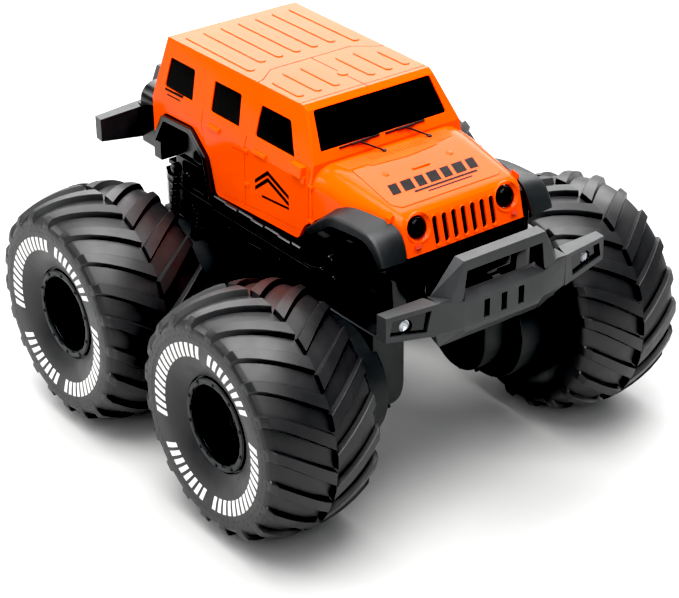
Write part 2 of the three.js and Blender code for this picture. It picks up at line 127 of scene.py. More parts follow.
def mouldedMaterial(name, look):
    # cloud: slow colour drift over the moulding; smear: uneven gloss;
    # grit: the tool's texture, as feature size in mm, strength, and depth in mm
    gritSize, gritStrength, gritDepth = look["grit"]
    material, tree, output, place = newMaterial(name)
    cloud = addNode(tree, "ShaderNodeTexNoise", inputs={
        "Scale": perMetre(look["cloudSize"]), "Detail": 3, "Roughness": 0.55,
    }, links={"Vector": (place, "Object")})
    tint = addNode(tree, "ShaderNodeValToRGB", links={"Fac": (cloud, "Fac")})
    tint.color_ramp.elements[0].position = 0.3
    tint.color_ramp.elements[0].color = toLinear(look["shade"])
    tint.color_ramp.elements[1].position = 0.7
    tint.color_ramp.elements[1].color = toLinear(look["colour"])
    smear = addNode(tree, "ShaderNodeTexNoise", inputs={
        "Scale": perMetre(look["smearSize"]), "Detail": 4, "Roughness": 0.6,
    }, links={"Vector": (place, "Object")})
    gloss = addNode(tree, "ShaderNodeMapRange", inputs={
        "From Min": 0.3, "From Max": 0.7,
        "To Min": look["roughness"][0], "To Max": look["roughness"][1],
    }, links={"Value": (smear, "Fac")})
    grit = addNode(tree, "ShaderNodeTexNoise", inputs={
        "Scale": perMetre(gritSize), "Detail": 2, "Roughness": 0.5,
    }, links={"Vector": (place, "Object")})
    relief = addNode(tree, "ShaderNodeBump", inputs={
        "Strength": gritStrength, "Distance": gritDepth / 1000,
    }, links={"Height": (grit, "Fac")})
    shader = addNode(tree, "ShaderNodeBsdfPrincipled", inputs={
        "IOR": look["ior"],
        "Coat Weight": look.get("coat", 0),
        "Coat Roughness": 0.05,
        "Specular IOR Level": look.get("specular", 0.5),
    }, links={
        "Base Color": (tint, "Color"), "Roughness": (gloss, "Result"), "Normal": (relief, "Normal"),
    })
    tree.links.new(shader.outputs["BSDF"], output.inputs["Surface"])
    return material


# ABS injection moulded in a polished tool: wet-looking orange with a faint orange peel
orangeAbs = mouldedMaterial("polishedOrangeAbs", {
    "colour": "#f4500a", "shade": "#ee4a08", "cloudSize": 60,
    "roughness": (0.13, 0.2), "smearSize": 25,
    "grit": (2.4, 0.12, 0.02), "ior": 1.54, "specular": 0.1,
})

# The orange ABS where the tool was spark-eroded: the grain takes the shine away
grainedOrangeAbs = mouldedMaterial("grainedOrangeAbs", {
    "colour": "#f4560a", "shade": "#ea4a06", "cloudSize": 20,
    "roughness": (0.55, 0.7), "smearSize": 6,
    "grit": (0.7, 0.4, 0.05), "ior": 1.54, "specular": 0.15,
})

# The same ABS in black: deep and mirror-like, for the hull, the tail box and the rims
glossBlackAbs = mouldedMaterial("polishedBlackAbs", {
    "colour": "#0a0a0b", "shade": "#060607", "cloudSize": 40,
    "roughness": (0.14, 0.26), "smearSize": 12,
    "grit": (1.8, 0.1, 0.02), "ior": 1.54, "specular": 0.35,
})

# Black polystyrene in the window openings: almost a mirror, with light wipe marks
windowBlack = mouldedMaterial("blackWindowPolystyrene", {
    "colour": "#060505", "shade": "#040404", "cloudSize": 30,
    "roughness": (0.07, 0.16), "smearSize": 18,
    "grit": (6, 0.05, 0.02), "ior": 1.59, "specular": 0.05,
})

# Polypropylene from a spark-eroded tool: a soft grey-black sheen with fine grit.
# The real grit is near 0.2 mm; it is drawn at 0.7 mm so that it still shows.
satinBlackPp = mouldedMaterial("sparkErodedBlackPolypropylene", {
    "colour": "#1b1d1e", "shade": "#151617", "cloudSize": 25,
    "roughness": (0.36, 0.5), "smearSize": 8,
    "grit": (0.7, 0.35, 0.04), "ior": 1.49, "specular": 0.3,
})

# Glass-filled nylon in dark grey: satin facets with pale rubbed edges
bumperNylon = mouldedMaterial("greyGlassFilledNylon", {
    "colour": "#2c2d2e", "shade": "#232425", "cloudSize": 20,
    "roughness": (0.34, 0.46), "smearSize": 7,
    "grit": (0.8, 0.3, 0.04), "ior": 1.53, "specular": 0.35,
})

# Soft thermoplastic rubber: dark grey, satin where the mould was smooth, dusty in patches
tyreRubber = mouldedMaterial("mouldedTyreRubber", {
    "colour": "#1a1a1b", "shade": "#131314", "cloudSize": 18,
    "roughness": (0.34, 0.46), "smearSize": 10,
    "grit": (1.1, 0.25, 0.05), "ior": 1.52, "specular": 0.42,
})

# White pad-printing ink on the raised marks, a little uneven at the edges
whiteInk = mouldedMaterial("whitePadPrintInk", {
    "colour": "#f4f4f2", "shade": "#e2e2df", "cloudSize": 3,
    "roughness": (0.45, 0.6), "smearSize": 2,
    "grit": (0.6, 0.3, 0.03), "ior": 1.5,
})

# Black pad-printing ink on the bodywork: flatter than the plastic under it
blackInk = mouldedMaterial("blackPadPrintInk", {
    "colour": "#100d0c", "shade": "#0a0807", "cloudSize": 3,
    "roughness": (0.5, 0.65), "smearSize": 3,
    "grit": (0.6, 0.2, 0.02), "ior": 1.5, "specular": 0.12,
})

# Nitrile seal: matt black with a faint bloom
sealRubber = mouldedMaterial("nitrileSealRubber", {
    "colour": "#1c1c1c", "shade": "#141414", "cloudSize": 6,
    "roughness": (0.7, 0.85), "smearSize": 4,
    "grit": (0.8, 0.3, 0.04), "ior": 1.52,
})

# Self-coloured nylon for the gears and the switch: waxy off-white
naturalNylon = mouldedMaterial("naturalNylon", {
    "colour": "#e9e4d4", "shade": "#dcd6c2", "cloudSize": 8,
    "roughness": (0.38, 0.5), "smearSize": 5,
    "grit": (0.9, 0.2, 0.03), "ior": 1.53,
})

# Shrink wrap round the cells: smooth blue PVC with small creases
batteryWrap = mouldedMaterial("blueShrinkWrapPvc", {
    "colour": "#2a62b4", "shade": "#1f4f9a", "cloudSize": 10,
    "roughness": (0.18, 0.32), "smearSize": 6,
    "grit": (5, 0.5, 0.2), "ior": 1.53,
})

# Transparent red-orange polystyrene over the bodywork, for the turn signals
amberLens = mouldedMaterial("mouldedAmberPolystyrene", {
    "colour": "#e2330a", "shade": "#c42606", "cloudSize": 2,
    "roughness": (0.08, 0.16), "smearSize": 3,
    "grit": (1.2, 0.4, 0.08), "ior": 1.59, "coat": 0.6,
})


def metalMaterial(name, look):
    # brushed along X: noise stretched across the draw marks
    material, tree, output, place = newMaterial(name)
    along, across = perMetre(look["streakLength"]), perMetre(look["streakWidth"])
    stretch = addNode(tree, "ShaderNodeMapping", inputs={
        "Scale": (along, across, across),
    }, links={"Vector": (place, "Object")})
    streak = addNode(tree, "ShaderNodeTexNoise", inputs={
        "Scale": 1, "Detail": 4, "Roughness": 0.6,
    }, links={"Vector": (stretch, "Vector")})
    tint = addNode(tree, "ShaderNodeValToRGB", links={"Fac": (streak, "Fac")})
    tint.color_ramp.elements[0].color = toLinear(look["shade"])
    tint.color_ramp.elements[1].color = toLinear(look["colour"])
    gloss = addNode(tree, "ShaderNodeMapRange", inputs={
        "To Min": look["roughness"][0], "To Max": look["roughness"][1],
    }, links={"Value": (streak, "Fac")})
    relief = addNode(tree, "ShaderNodeBump", inputs={
        "Strength": 0.2, "Distance": 0.00002,
    }, links={"Height": (streak, "Fac")})
    shader = addNode(tree, "ShaderNodeBsdfPrincipled", inputs={"Metallic": 1}, links={
        "Base Color": (tint, "Color"), "Roughness": (gloss, "Result"), "Normal": (relief, "Normal"),
    })
    tree.links.new(shader.outputs["BSDF"], output.inputs["Surface"])
    return material


# Drawn steel cans and nuts: grey with fine lengthwise streaks
drawnSteel = metalMaterial("drawnSteel", {
    "colour": "#b9bcc0", "shade": "#8f9296", "roughness": (0.25, 0.45),
    "streakLength": 9, "streakWidth": 0.4,
})

# Black-oxide screws: dark metal that glints at the edge of the head
blackOxide = metalMaterial("blackOxideSteel", {
    "colour": "#3c3d40", "shade": "#1d1e20", "roughness": (0.22, 0.4),
    "streakLength": 1.5, "streakWidth": 0.5,
})

# Vacuum-metallised bowl behind a lamp lens: bright with a faceted sparkle
mirrorBowl = metalMaterial("vacuumMetallisedReflector", {
    "colour": "#f2f3f5", "shade": "#c9ccd0", "roughness": (0.06, 0.18),
    "streakLength": 0.8, "streakWidth": 0.8,
})


def boardMaterial():
    # Fibreglass board under green solder mask: a fine woven checker shows through
    material, tree, output, place = newMaterial("greenSolderMask")
    weave = addNode(tree, "ShaderNodeTexChecker", inputs={
        "Scale": perMetre(1.2),
        "Color1": toLinear("#1e6238"), "Color2": toLinear("#1a5731"),
    }, links={"Vector": (place, "Object")})
    mottle = addNode(tree, "ShaderNodeTexNoise", inputs={
        "Scale": perMetre(4), "Detail": 3,
    }, links={"Vector": (place, "Object")})
    gloss = addNode(tree, "ShaderNodeMapRange", inputs={
        "To Min": 0.25, "To Max": 0.45,
    }, links={"Value": (mottle, "Fac")})
    shader = addNode(tree, "ShaderNodeBsdfPrincipled", inputs={"IOR": 1.55}, links={
        "Base Color": (weave, "Color"), "Roughness": (gloss, "Result"),
    })
    tree.links.new(shader.outputs["BSDF"], output.inputs["Surface"])
    return material


def lensMaterial():
    # Clear polycarbonate: glassy, with a pimpled inner face that scatters the lamp
    material, tree, output, place = newMaterial("clearPolycarbonate")
    pimple = addNode(tree, "ShaderNodeTexVoronoi", inputs={
        "Scale": perMetre(1.1),
    }, links={"Vector": (place, "Object")})
    relief = addNode(tree, "ShaderNodeBump", inputs={
        "Strength": 0.4, "Distance": 0.0002,
    }, links={"Height": (pimple, "Distance")})
    haze = addNode(tree, "ShaderNodeMapRange", inputs={
        "To Min": 0.03, "To Max": 0.12,
    }, links={"Value": (pimple, "Distance")})
    shader = addNode(tree, "ShaderNodeBsdfPrincipled", inputs={
        "IOR": 1.585, "Transmission Weight": 0.9, "Base Color": toLinear("#f4f8fb"),
    }, links={"Roughness": (haze, "Result"), "Normal": (relief, "Normal")})
    tree.links.new(shader.outputs["BSDF"], output.inputs["Surface"])
    return material


solderMask = boardMaterial()
clearLens = lensMaterial()
print("materials made")


# Mesh tools, all in millimetres

def hullOf(points):
    bm = bmesh.new()
    for point in points:
        bm.verts.new(point)
    made = bmesh.ops.convex_hull(bm, input=bm.verts[:])
    inside = {g for g in made["geom_interior"] + made["geom_unused"] if isinstance(g, bmesh.types.BMVert)}
    bmesh.ops.delete(bm, geom=list(inside), context="VERTS")
    bmesh.ops.dissolve_limit(bm, angle_limit=math.radians(1), verts=bm.verts[:], edges=bm.edges[:])
    return bm


def mirrored(points):
    return points + [(-x, y, z) for x, y, z in points]


def onSide(side, points):
    return [(side * x, y, z) for x, y, z in points]


def box(xs, ys, zs):
    return hullOf([(x, y, z) for x in xs for y in ys for z in zs])


def spanOn(side, inner, outer):
    return (side * inner, side * outer)


def swept(outline, low, high, axis):
    turn = {
        "X": lambda a, b, t: (t, a, b),
        "Y": lambda a, b, t: (a, t, b),
        "Z": lambda a, b, t: (a, b, t),
    }[axis]
    bm = bmesh.new()
    ends = [[bm.verts.new(turn(a, b, t)) for a, b in outline] for t in (low, high)]
    for end in ends:
        bm.faces.new(end)
    for i in range(len(outline)):
        j = (i + 1) % len(outline)
        bm.faces.new((ends[0][i], ends[0][j], ends[1][j], ends[1][i]))
    bmesh.ops.recalc_face_normals(bm, faces=bm.faces[:])
    return bm


def turned(profile, steps=64, closed=False):
    # (x, radius) points turned about the X axis; an open profile starts and ends on the axis
    bm = bmesh.new()
    rows = []
    for x, radius in profile:
        if radius < 0.001:
            rows.append([bm.verts.new((x, 0, 0))])
            continue
        rows.append([
            bm.verts.new((x, radius * math.cos(t), radius * math.sin(t)))
            for t in [2 * math.pi * i / steps for i in range(steps)]
        ])
    nextRows = rows[1:] + rows[:1] if closed else rows[1:]
    for row, nextRow in zip(rows, nextRows):
        for i in range(steps):
            j = i + 1
            corners = [
                row[i % len(row)], row[j % len(row)], nextRow[j % len(nextRow)], nextRow[i % len(nextRow)],
            ]
            corners = list(dict.fromkeys(corners))
            if len(corners) > 2:
                bm.faces.new(corners)
    bmesh.ops.recalc_face_normals(bm, faces=bm.faces[:])
    return bm


def bridge(bm, rows):
    # quads between each closed row of corners and the next
    for row, nextRow in zip(rows, rows[1:]):
        for i in range(len(row)):
            j = (i + 1) % len(row)
            bm.faces.new((row[i], row[j], nextRow[j], nextRow[i]))


def placed(bm, x=0, y=0, z=0, turnZ=0, turnX=0, turnY=0):
    turn = Matrix.Rotation(turnZ, 4, "Z") @ Matrix.Rotation(turnY, 4, "Y") @ Matrix.Rotation(turnX, 4, "X")
    bm.transform(Matrix.Translation((x, y, z)) @ turn)
    return bm


def flippedX(bm):
    bm.transform(Matrix.Scale(-1, 4, (1, 0, 0)))
    bmesh.ops.reverse_faces(bm, faces=bm.faces[:])
    return bm


def softened(bm, width, steps=2, angle=20):
    edges = [
        e for e in bm.edges
        if len(e.link_faces) == 2 and e.calc_face_angle(0) > math.radians(angle)
    ]
    bmesh.ops.bevel(
        bm, geom=edges, offset=width, segments=steps, profile=0.6, affect="EDGES", clamp_overlap=True)
    return bm


def softHull(points, width, steps=2):
    return softened(hullOf(points), width, steps)


def softBox(xs, ys, zs, width, steps=2):
    return softened(box(xs, ys, zs), width, steps)


def onBothSides(points, width, steps=2):
    return [softHull(onSide(side, points), width, steps) for side in (1, -1)]


def gathered(*solids):
    # several closed solids side by side in one mesh
    bm = bmesh.new()
    for solid in solids:
        mesh = bpy.data.meshes.new("part")
        solid.to_mesh(mesh)
        solid.free()
        bm.from_mesh(mesh)
        bpy.data.meshes.remove(mesh)
    return bm


def heldMesh(bm, collection):
    mesh = bpy.data.meshes.new("held")
    bm.to_mesh(mesh)
    bm.free()
    held = bpy.data.objects.new("held", mesh)
    collection.objects.link(held)
    return held


def boolean(base, tools, operation):
    bench = bpy.data.collections.new("bench")
    scene.collection.children.link(bench)
    target = heldMesh(base, scene.collection)
    for tool in tools:
        heldMesh(tool, bench)
    step = target.modifiers.new("step", "BOOLEAN")
    step.operation = operation
    step.solver = "EXACT"
    step.operand_type = "COLLECTION"
    step.collection = bench
    mesh = bpy.data.meshes.new_from_object(target.evaluated_get(bpy.context.evaluated_depsgraph_get()))
    bm = bmesh.new()
    bm.from_mesh(mesh)
    bpy.data.meshes.remove(mesh)
    for held in [target, *bench.objects]:
        leftover = held.data
        bpy.data.objects.remove(held)
        bpy.data.meshes.remove(leftover)
    bpy.data.collections.remove(bench)
    bmesh.ops.remove_doubles(bm, verts=bm.verts[:], dist=0.002)
    bmesh.ops.dissolve_degenerate(bm, dist=0.002, edges=bm.edges[:])
    return bm


def union(base, *others):
    return boolean(base, others, "UNION")


def cut(base, *tools):
    return boolean(base, tools, "DIFFERENCE")


def addPiece(name, bm, material, body="chassis", standsFor=(), sharp=32):
    mesh = bpy.data.meshes.new(name)
    bm.to_mesh(mesh)
    bm.free()
    mesh.transform(toCar)
    mesh.shade_smooth()
    mesh.set_sharp_from_angle(angle=math.radians(sharp))
    mesh.materials.append(material)
    piece = bpy.data.objects.new(name, mesh)
    scene.collection.objects.link(piece)
    weights = piece.modifiers.new("faceWeights", "WEIGHTED_NORMAL")
    weights.keep_sharp = True
    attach(piece, body)
    if standsFor:
        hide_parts(*standsFor)
    return piece


# Wheels, drawn with the axle at the origin and the outboard side towards +X.

corners = [
    ("front_right", -1, frontAxle.y - midY), ("front_left", 1, frontAxle.y - midY),
    ("rear_right", -1, rearAxle.y - midY), ("rear_left", 1, rearAxle.y - midY),
]
crownAt = 93.25

tyre = {
    "lugs": 20,
    "sweep": 0.69,          # degrees a lug trails back per millimetre from the middle
    "lugHalfMiddle": 3.65,  # half a lug's width in degrees, at the middle and at the shoulder
    "lugHalfShoulder": 2.75,
    "draft": 0.75,          # degrees between a lug's top edge and its foot
    "edge": 0.32,           # degrees of rounding on the top edge
    "halfWidth": 29,
    "phase": {"front_right": 9.8, "front_left": 3.0, "rear_right": 1.0, "rear_left": 6.0},
}

# (offset, radius) of the groove floor and of the lug top above it, from the middle outwards
treadRows = [
    ((0.15, 56.8), (0.15, 60)), ((5, 56.7), (5, 59.8)), ((10, 56.3), (10, 59.2)),
    ((15, 55.5), (15, 58.25)), ((20, 54.3), (20, 57)), ((24.5, 52.7), (24.5, 55.4)),
    ((27, 51.5), (27.4, 54.2)), ((27.6, 51.1), (28.1, 53.7)), ((29, 49.9), (29.7, 51.1)),
    ((29.5, 49.3), (30.1, 50)),
]
outerWall = [
    (30.05, 48), (30.25, 46), (30.2, 43.5), (30.05, 41), (29.85, 38.5), (29.5, 36), (28.9, 33.5),
    (28, 31), (26.9, 28.5), (25.7, 26.3), (24.7, 24.6), (24.1, 23.7),
]
outerBead = [(23.4, 23.45), (21, 23.6), (20, 24.4)]
innerFace = [(24.5, 40), (20, 50), (0, 53.4), (-20, 50), (-25, 42)]
innerBead = [(-16.5, 28.6), (-19, 28.5), (-22, 28.4), (-22.4, 30.5)]
innerWall = [
    (-22.9, 31.4), (-25.4, 33.5), (-28.2, 36.5), (-29.9, 39.5), (-30.3, 42.5), (-30.3, 45.5), (-30.1, 48),
]


def mix(a, b, share):
    return a + (b - a) * share


def columnAngles(half, share):
    # where each column stands at this share of the way to the shoulder, with its lug lift.
    # half 0 is the outboard row of lugs and half 1 the inboard one, half a pitch later.
    pitch = 360 / tyre["lugs"]
    lugHalf = mix(tyre["lugHalfMiddle"], tyre["lugHalfShoulder"], share)
    foot = lugHalf + tyre["draft"]
    lug = [(-foot, 0), (-lugHalf, 0.88), (tyre["edge"] - lugHalf, 1), (0, 1),
           (lugHalf - tyre["edge"], 1), (lugHalf, 0.88), (foot, 0)]
    middleHalf = tyre["lugHalfMiddle"]
    middleFoot = middleHalf + tyre["draft"]
    other = [-middleFoot, -middleHalf, tyre["edge"] - middleHalf, 0,
             middleHalf - tyre["edge"], middleHalf, middleFoot]
    grooveFrom, grooveTo = middleFoot, pitch - middleFoot
    columns = []
    for i in range(tyre["lugs"]):
        start = i * pitch
        mine = [(start + half * pitch / 2 + angle, lift) for angle, lift in lug]
        gap = []
        for angle in other:
            part = (pitch / 2 + angle - grooveFrom) / (grooveTo - grooveFrom)
            gap.append((start + half * pitch / 2 + mix(foot, pitch - foot, part), 0))
        columns += mine + gap if half == 0 else [(a - pitch, l) for a, l in gap] + mine
    return columns


def tyreRow(bm, half, offset, floor, top):
    share = min(offset / tyre["halfWidth"], 1)
    trail = tyre["sweep"] * min(offset, tyre["halfWidth"])
    side = 1 if half == 0 else -1
    row = []
    for angle, lift in columnAngles(half, share):
        x = mix(floor[0], top[0], lift)
        radius = mix(floor[1], top[1], lift)
        t = math.radians(angle + trail)
        row.append(bm.verts.new((side * x, -radius * math.cos(t), radius * math.sin(t))))
    return row


def makeTyre(phase):
    bm = bmesh.new()
    loop = []
    for floor, top in treadRows:
        loop.append(tyreRow(bm, 0, floor[0], floor, top))
    for half, points in ((0, outerWall + outerBead + innerFace), (1, innerBead + innerWall)):
        for x, radius in points:
            point = (abs(x) if half else x, radius)
            loop.append(tyreRow(bm, half, tyre["halfWidth"], point, point))
    for floor, top in reversed(treadRows):
        loop.append(tyreRow(bm, 1, floor[0], floor, top))
    bridge(bm, loop + loop[:1])
    bmesh.ops.recalc_face_normals(bm, faces=bm.faces[:])
    return placed(bm, crownAt, turnX=-math.radians(phase))


def outerWallAt(radius):
    # how far out the sidewall stands at a radius
    points = [treadRows[-1][1]] + outerWall
    for (x0, r0), (x1, r1) in zip(points, points[1:]):
        if r1 <= radius <= r0:
            return mix(x0, x1, (r0 - radius) / (r0 - r1))
    return points[-1][0]


def wallPad(inner, outer, start, end, slant, rise):
    # a raised patch that follows the sidewall between two radii and two angles
    steps = 4
    bm = bmesh.new()
    layers = []
    for height in (-0.4, rise):
        rows = []
        for i in range(steps + 1):
            radius = mix(inner, outer, i / steps)
            lean = slant * (i / steps - 0.5)
            row = []
            for j in range(steps + 1):
                t = math.radians(mix(start, end, j / steps) + lean)
                x = crownAt + outerWallAt(radius) + height
                row.append(bm.verts.new((x, -radius * math.cos(t), radius * math.sin(t))))
            rows.append(row)
        layers.append(rows)
    low, high = layers
    for rows in layers:
        for i in range(steps):
            for j in range(steps):
                bm.faces.new((rows[i][j], rows[i][j + 1], rows[i + 1][j + 1], rows[i + 1][j]))
    for end in (0, -1):
        for j in range(steps):
            bm.faces.new((low[end][j], low[end][j + 1], high[end][j + 1], high[end][j]))
            bm.faces.new((low[j][end], low[j + 1][end], high[j + 1][end], high[j][end]))
    bmesh.ops.recalc_face_normals(bm, faces=bm.faces[:])
    return bm


wallMarks = {
    "inner": 34.6, "outer": 41.6, "rise": 0.18, "slant": -3,
    "pitch": 6.375, "bar": 3.7,     # degrees
    "spans": (102, 51, 102, 51), "gaps": (19, 8, 19, 8), "start": 95,
}


def makeWallMarks():
    # plain slanted bars in four groups round the sidewall
    look = wallMarks
    pads = []
    angle = look["start"]
    for span, gap in zip(look["spans"], look["gaps"]):
        for i in range(round(span / look["pitch"])):
            start = angle + i * look["pitch"]
            pads.append(wallPad(
                look["inner"], look["outer"], start, start + look["bar"], look["slant"], look["rise"]))
        angle += span + gap
    return gathered(*pads)


wallStitches = {"radii": (44.6, 47.4), "count": 60, "width": 0.9, "length": 3.6, "rise": 0.08}


def makeWallStitches():
    look = wallStitches
    pads = []
    for row, radius in enumerate(look["radii"]):
        for i in range(look["count"]):
            start = (i + row / 2) * 360 / look["count"]
            pads.append(wallPad(
                radius - look["width"] / 2, radius + look["width"] / 2,
                start, start + look["length"], 0, look["rise"]))
    return gathered(*pads)


rim = {"lipAt": 116.5, "lip": 23.6, "mouth": 19.3, "depth": 17, "spokes": 6,
       "boltCircle": 10.8, "boltRadius": 1.3}


def makeRim():
    # a deep barrel with a hub face at the bottom, spokes and a bolt circle on it
    lipAt = rim["lipAt"]
    face = lipAt - rim["depth"]
    barrel = softened(turned([
        (lipAt, rim["lip"]), (lipAt, rim["mouth"]), (face + 3, 18), (face + 1.2, 17.4), (face + 1.2, 15.2),
        (face, 14.8), (face, 7.4), (face + 4, 6.4), (face + 4, 2.4),
        (92, 2.4), (92, 5.5), (96, 9), (96, 20), (68, 27), (68, 31), (70.5, 31), (71, 28), (95, 22),
        (112.5, 22.2), (113, rim["lip"]),
    ], 72, closed=True), 0.35, 2, 30)
    spokes = []
    for i in range(rim["spokes"]):
        turn = 2 * math.pi * i / rim["spokes"]
        spoke = hullOf([
            (face - 0.3, -2.2, 6.6), (face - 0.3, 2.2, 6.6), (face - 0.3, -3, 15), (face - 0.3, 3, 15),
            (face + 2.6, -1.4, 6.6), (face + 2.6, 1.4, 6.6), (face + 1.4, -2.2, 15), (face + 1.4, 2.2, 15),
        ])
        spokes.append(placed(softened(spoke, 0.3), turnX=turn))
    return gathered(barrel, *spokes)


ring = {"start": 116.8, "thick": 1.75, "inner": 19.6, "outer": 23.0, "screws": 10,
        "screwAt": 21.4, "screwRadius": 0.95}


def makeBeadRing():
    start, end = ring["start"], ring["start"] + ring["thick"]
    inner, outer = ring["inner"], ring["outer"]
    body = turned([
        (start, outer), (start, inner), (end - 0.5, inner), (end, inner + 0.5),
        (end, outer - 0.7), (end - 0.7, outer),
    ], 72, closed=True)
    tools = []
    for i in range(ring["screws"]):    # a shallow bite in the inner edge beside each screw
        turn = 2 * math.pi * (i + 0.5) / ring["screws"]
        bite = hullOf([
            (end - 0.7, y, z) for y, z in ((-2.2, 18), (2.2, 18), (-1.6, 20.2), (1.6, 20.2))
        ] + [(end + 1, y, z) for y, z in ((-2.2, 18), (2.2, 18), (-1.9, 20.4), (1.9, 20.4))])
        tools.append(placed(bite, turnX=turn))
    return cut(body, *tools)


def makeScrew(radius, height):
    # a pan head about X, with a hexagonal socket
    head = turned([
        (-0.6, 0), (-0.6, radius), (height * 0.45, radius), (height * 0.85, radius * 0.82),
        (height, radius * 0.5), (height, 0),
    ], 20)
    floor, mouth = height * 0.35, height + 1
    socket = turned([(floor, 0), (floor, radius * 0.42), (mouth, radius * 0.46), (mouth, 0)], 6)
    return cut(head, socket)


def screwCircle(count, shift, circle, x, radius, height):
    # screws on a circle about X, the first one turned on by a share of their spacing
    screws = []
    for i in range(count):
        turn = 2 * math.pi * (i + shift) / count
        screws.append(placed(
            makeScrew(radius, height), x, -circle * math.sin(turn), circle * math.cos(turn)))
    return screws


def makeRingScrews():
    return gathered(*screwCircle(
        ring["screws"], 0, ring["screwAt"], ring["start"] + ring["thick"], ring["screwRadius"], 0.55))


def makeHubBolts():
    return gathered(*screwCircle(
        rim["spokes"], 0.5, rim["boltCircle"], rim["lipAt"] - rim["depth"], rim["boltRadius"], 1.1))


def makeWheelNut():
    nut = softened(turned([(103.3, 0), (103.3, 4.2), (106.5, 4.2), (106.5, 0)], 6), 0.3)
    end = turned([(105.5, 0), (105.5, 2.2), (107.1, 2.2), (107.6, 1.7), (107.6, 0)], 20)
    return gathered(nut, end)


wheelPieces = [
    ("tyre_rubber", None, tyreRubber, "tyre_rubber", "tyre"),
    ("sidewall_marks", makeWallMarks, whiteInk, "tyre_rubber", None),
    ("sidewall_stitches", makeWallStitches, tyreRubber, "tyre_rubber", None),
    ("rim_barrel", makeRim, glossBlackAbs, "rim_black", "rim"),
    ("clamp_ring", makeBeadRing, satinBlackPp, "rim_black", "bead_ring"),
    ("ring_screws", makeRingScrews, blackOxide, "motor_steel", None),
    ("hub_bolts", makeHubBolts, blackOxide, "motor_steel", None),
    ("axle_nut", makeWheelNut, blackOxide, "motor_steel", "wheel_nut"),
]

wheelShapes = {name: make() for name, make, *_ in wheelPieces if make}
for corner, side, y in corners:
    wheelShapes["tyre_rubber"] = makeTyre(tyre["phase"][corner])
    for name, _, material, slot, node in wheelPieces:
        bm = wheelShapes[name].copy()
        if side < 0:
            flippedX(bm)
        placed(bm, y=y, z=axleHeight)
        standsFor = [f"{node}_{corner}"] if node else []
        addPiece(f"{name}_{corner}", bm, material, f"wheel_{corner}", standsFor, sharp=30)
print("wheels made")


# Motor pods, drawn with the axle at the origin and the outboard side towards +X

pod = {
    "inner": 24.8, "step": 41, "outer": 57.2, "neck": 21, "drum": 30, "top": 90.7,
    "coverThick": 2.3, "screws": 5, "screwAt": 26, "screwRadius": 1.7,
}


def neckOutline(radius, top):
    steps = 32
    arc = [math.pi + math.pi * i / steps for i in range(steps + 1)]
    points = [(radius * math.cos(t), radius * math.sin(t)) for t in arc]
    return points + [(radius, top), (-radius, top)]


def makePod():
    neck = swept(neckOutline(pod["neck"], pod["top"] - axleHeight), pod["inner"], pod["step"] + 3, "X")
    drum = turned([
        (pod["step"], 0), (pod["step"], pod["drum"]), (pod["outer"], pod["drum"]), (pod["outer"], 0),
    ], 72)
    shell = union(softened(neck, 1.2, 3, 30), softened(drum, 1.4, 3, 30))
    boss = softened(turned([
        (pod["inner"] - 0.9, 0), (pod["inner"] - 0.9, 7.5), (pod["inner"] + 1, 7.5), (pod["inner"] + 1, 0),
    ], 40), 0.5)
    ribs = []
    for turn in (-0.6, 0, 0.6):
        rib = softBox(
            (pod["inner"] + 2, pod["step"] + 0.5), (-0.9, 0.9), (-pod["neck"] - 1.6, -pod["neck"] + 1), 0.35)
        ribs.append(placed(rib, turnX=turn))
    return gathered(shell, boss, *ribs)


def makePodCover():
    start = pod["outer"] + 0.3
    end = start + pod["coverThick"]
    return turned([
        (start, 2.6), (start, pod["drum"]), (end - 0.8, pod["drum"]), (end, pod["drum"] - 0.9),
        (end, 11), (end + 0.9, 10.2), (end + 0.9, 2.6),
    ], 72, closed=True)


def makePodScrews():
    # round the lid, and one on the boss of the inboard face
    screws = screwCircle(
        pod["screws"], 0.3, pod["screwAt"], pod["outer"] + 0.3 + pod["coverThick"], pod["screwRadius"], 1)
    screws.append(placed(flippedX(makeScrew(2.1, 1.1)), pod["inner"] - 0.9))
    return gathered(*screws)


podShapes = [
    ("pod_shell", makePod(), satinBlackPp, "satin_black", "pod_housing"),
    ("pod_lid", makePodCover(), satinBlackPp, "satin_black", "pod_cover"),
    ("pod_screws", makePodScrews(), blackOxide, "motor_steel", None),
]
for corner, side, y in corners:
    for name, shape, material, slot, node in podShapes:
        bm = shape.copy()
        if side < 0:
            flippedX(bm)
        placed(bm, y=y, z=axleHeight)
        addPiece(f"{name}_{corner}", bm, material, standsFor=[f"{node}_{corner}"] if node else [])
print("motor pods made")


# Body shell

cabin = {"wall": 2, "round": 2.4, "crown": 0.5, "foot": 100}
roofPanel = carHeight - cabin["crown"]     # the ribs rise from here to the full height
sideHalf = 45.4


def cabinHull(inset):
    low = cabin["foot"]
    return hullOf(mirrored([
        (41.5 - inset, -41.1 + inset, 163.9), (43.4 - inset, -43.6 + inset, 159.6),
        (43.5 - inset, 88 - inset, 160.6), (sideHalf - inset, -44 + inset, 150),
        (sideHalf - inset, 90.4 - inset, 150), (sideHalf - inset, -44 + inset, low),
        (sideHalf - inset, 90.4 - inset, low), (37 - inset, -31.3 + inset, 181 - inset),
        (38.8 - inset, 83.2 - inset, roofPanel - inset), (37.3 - inset, -27.8 + inset, roofPanel - inset),
    ]))


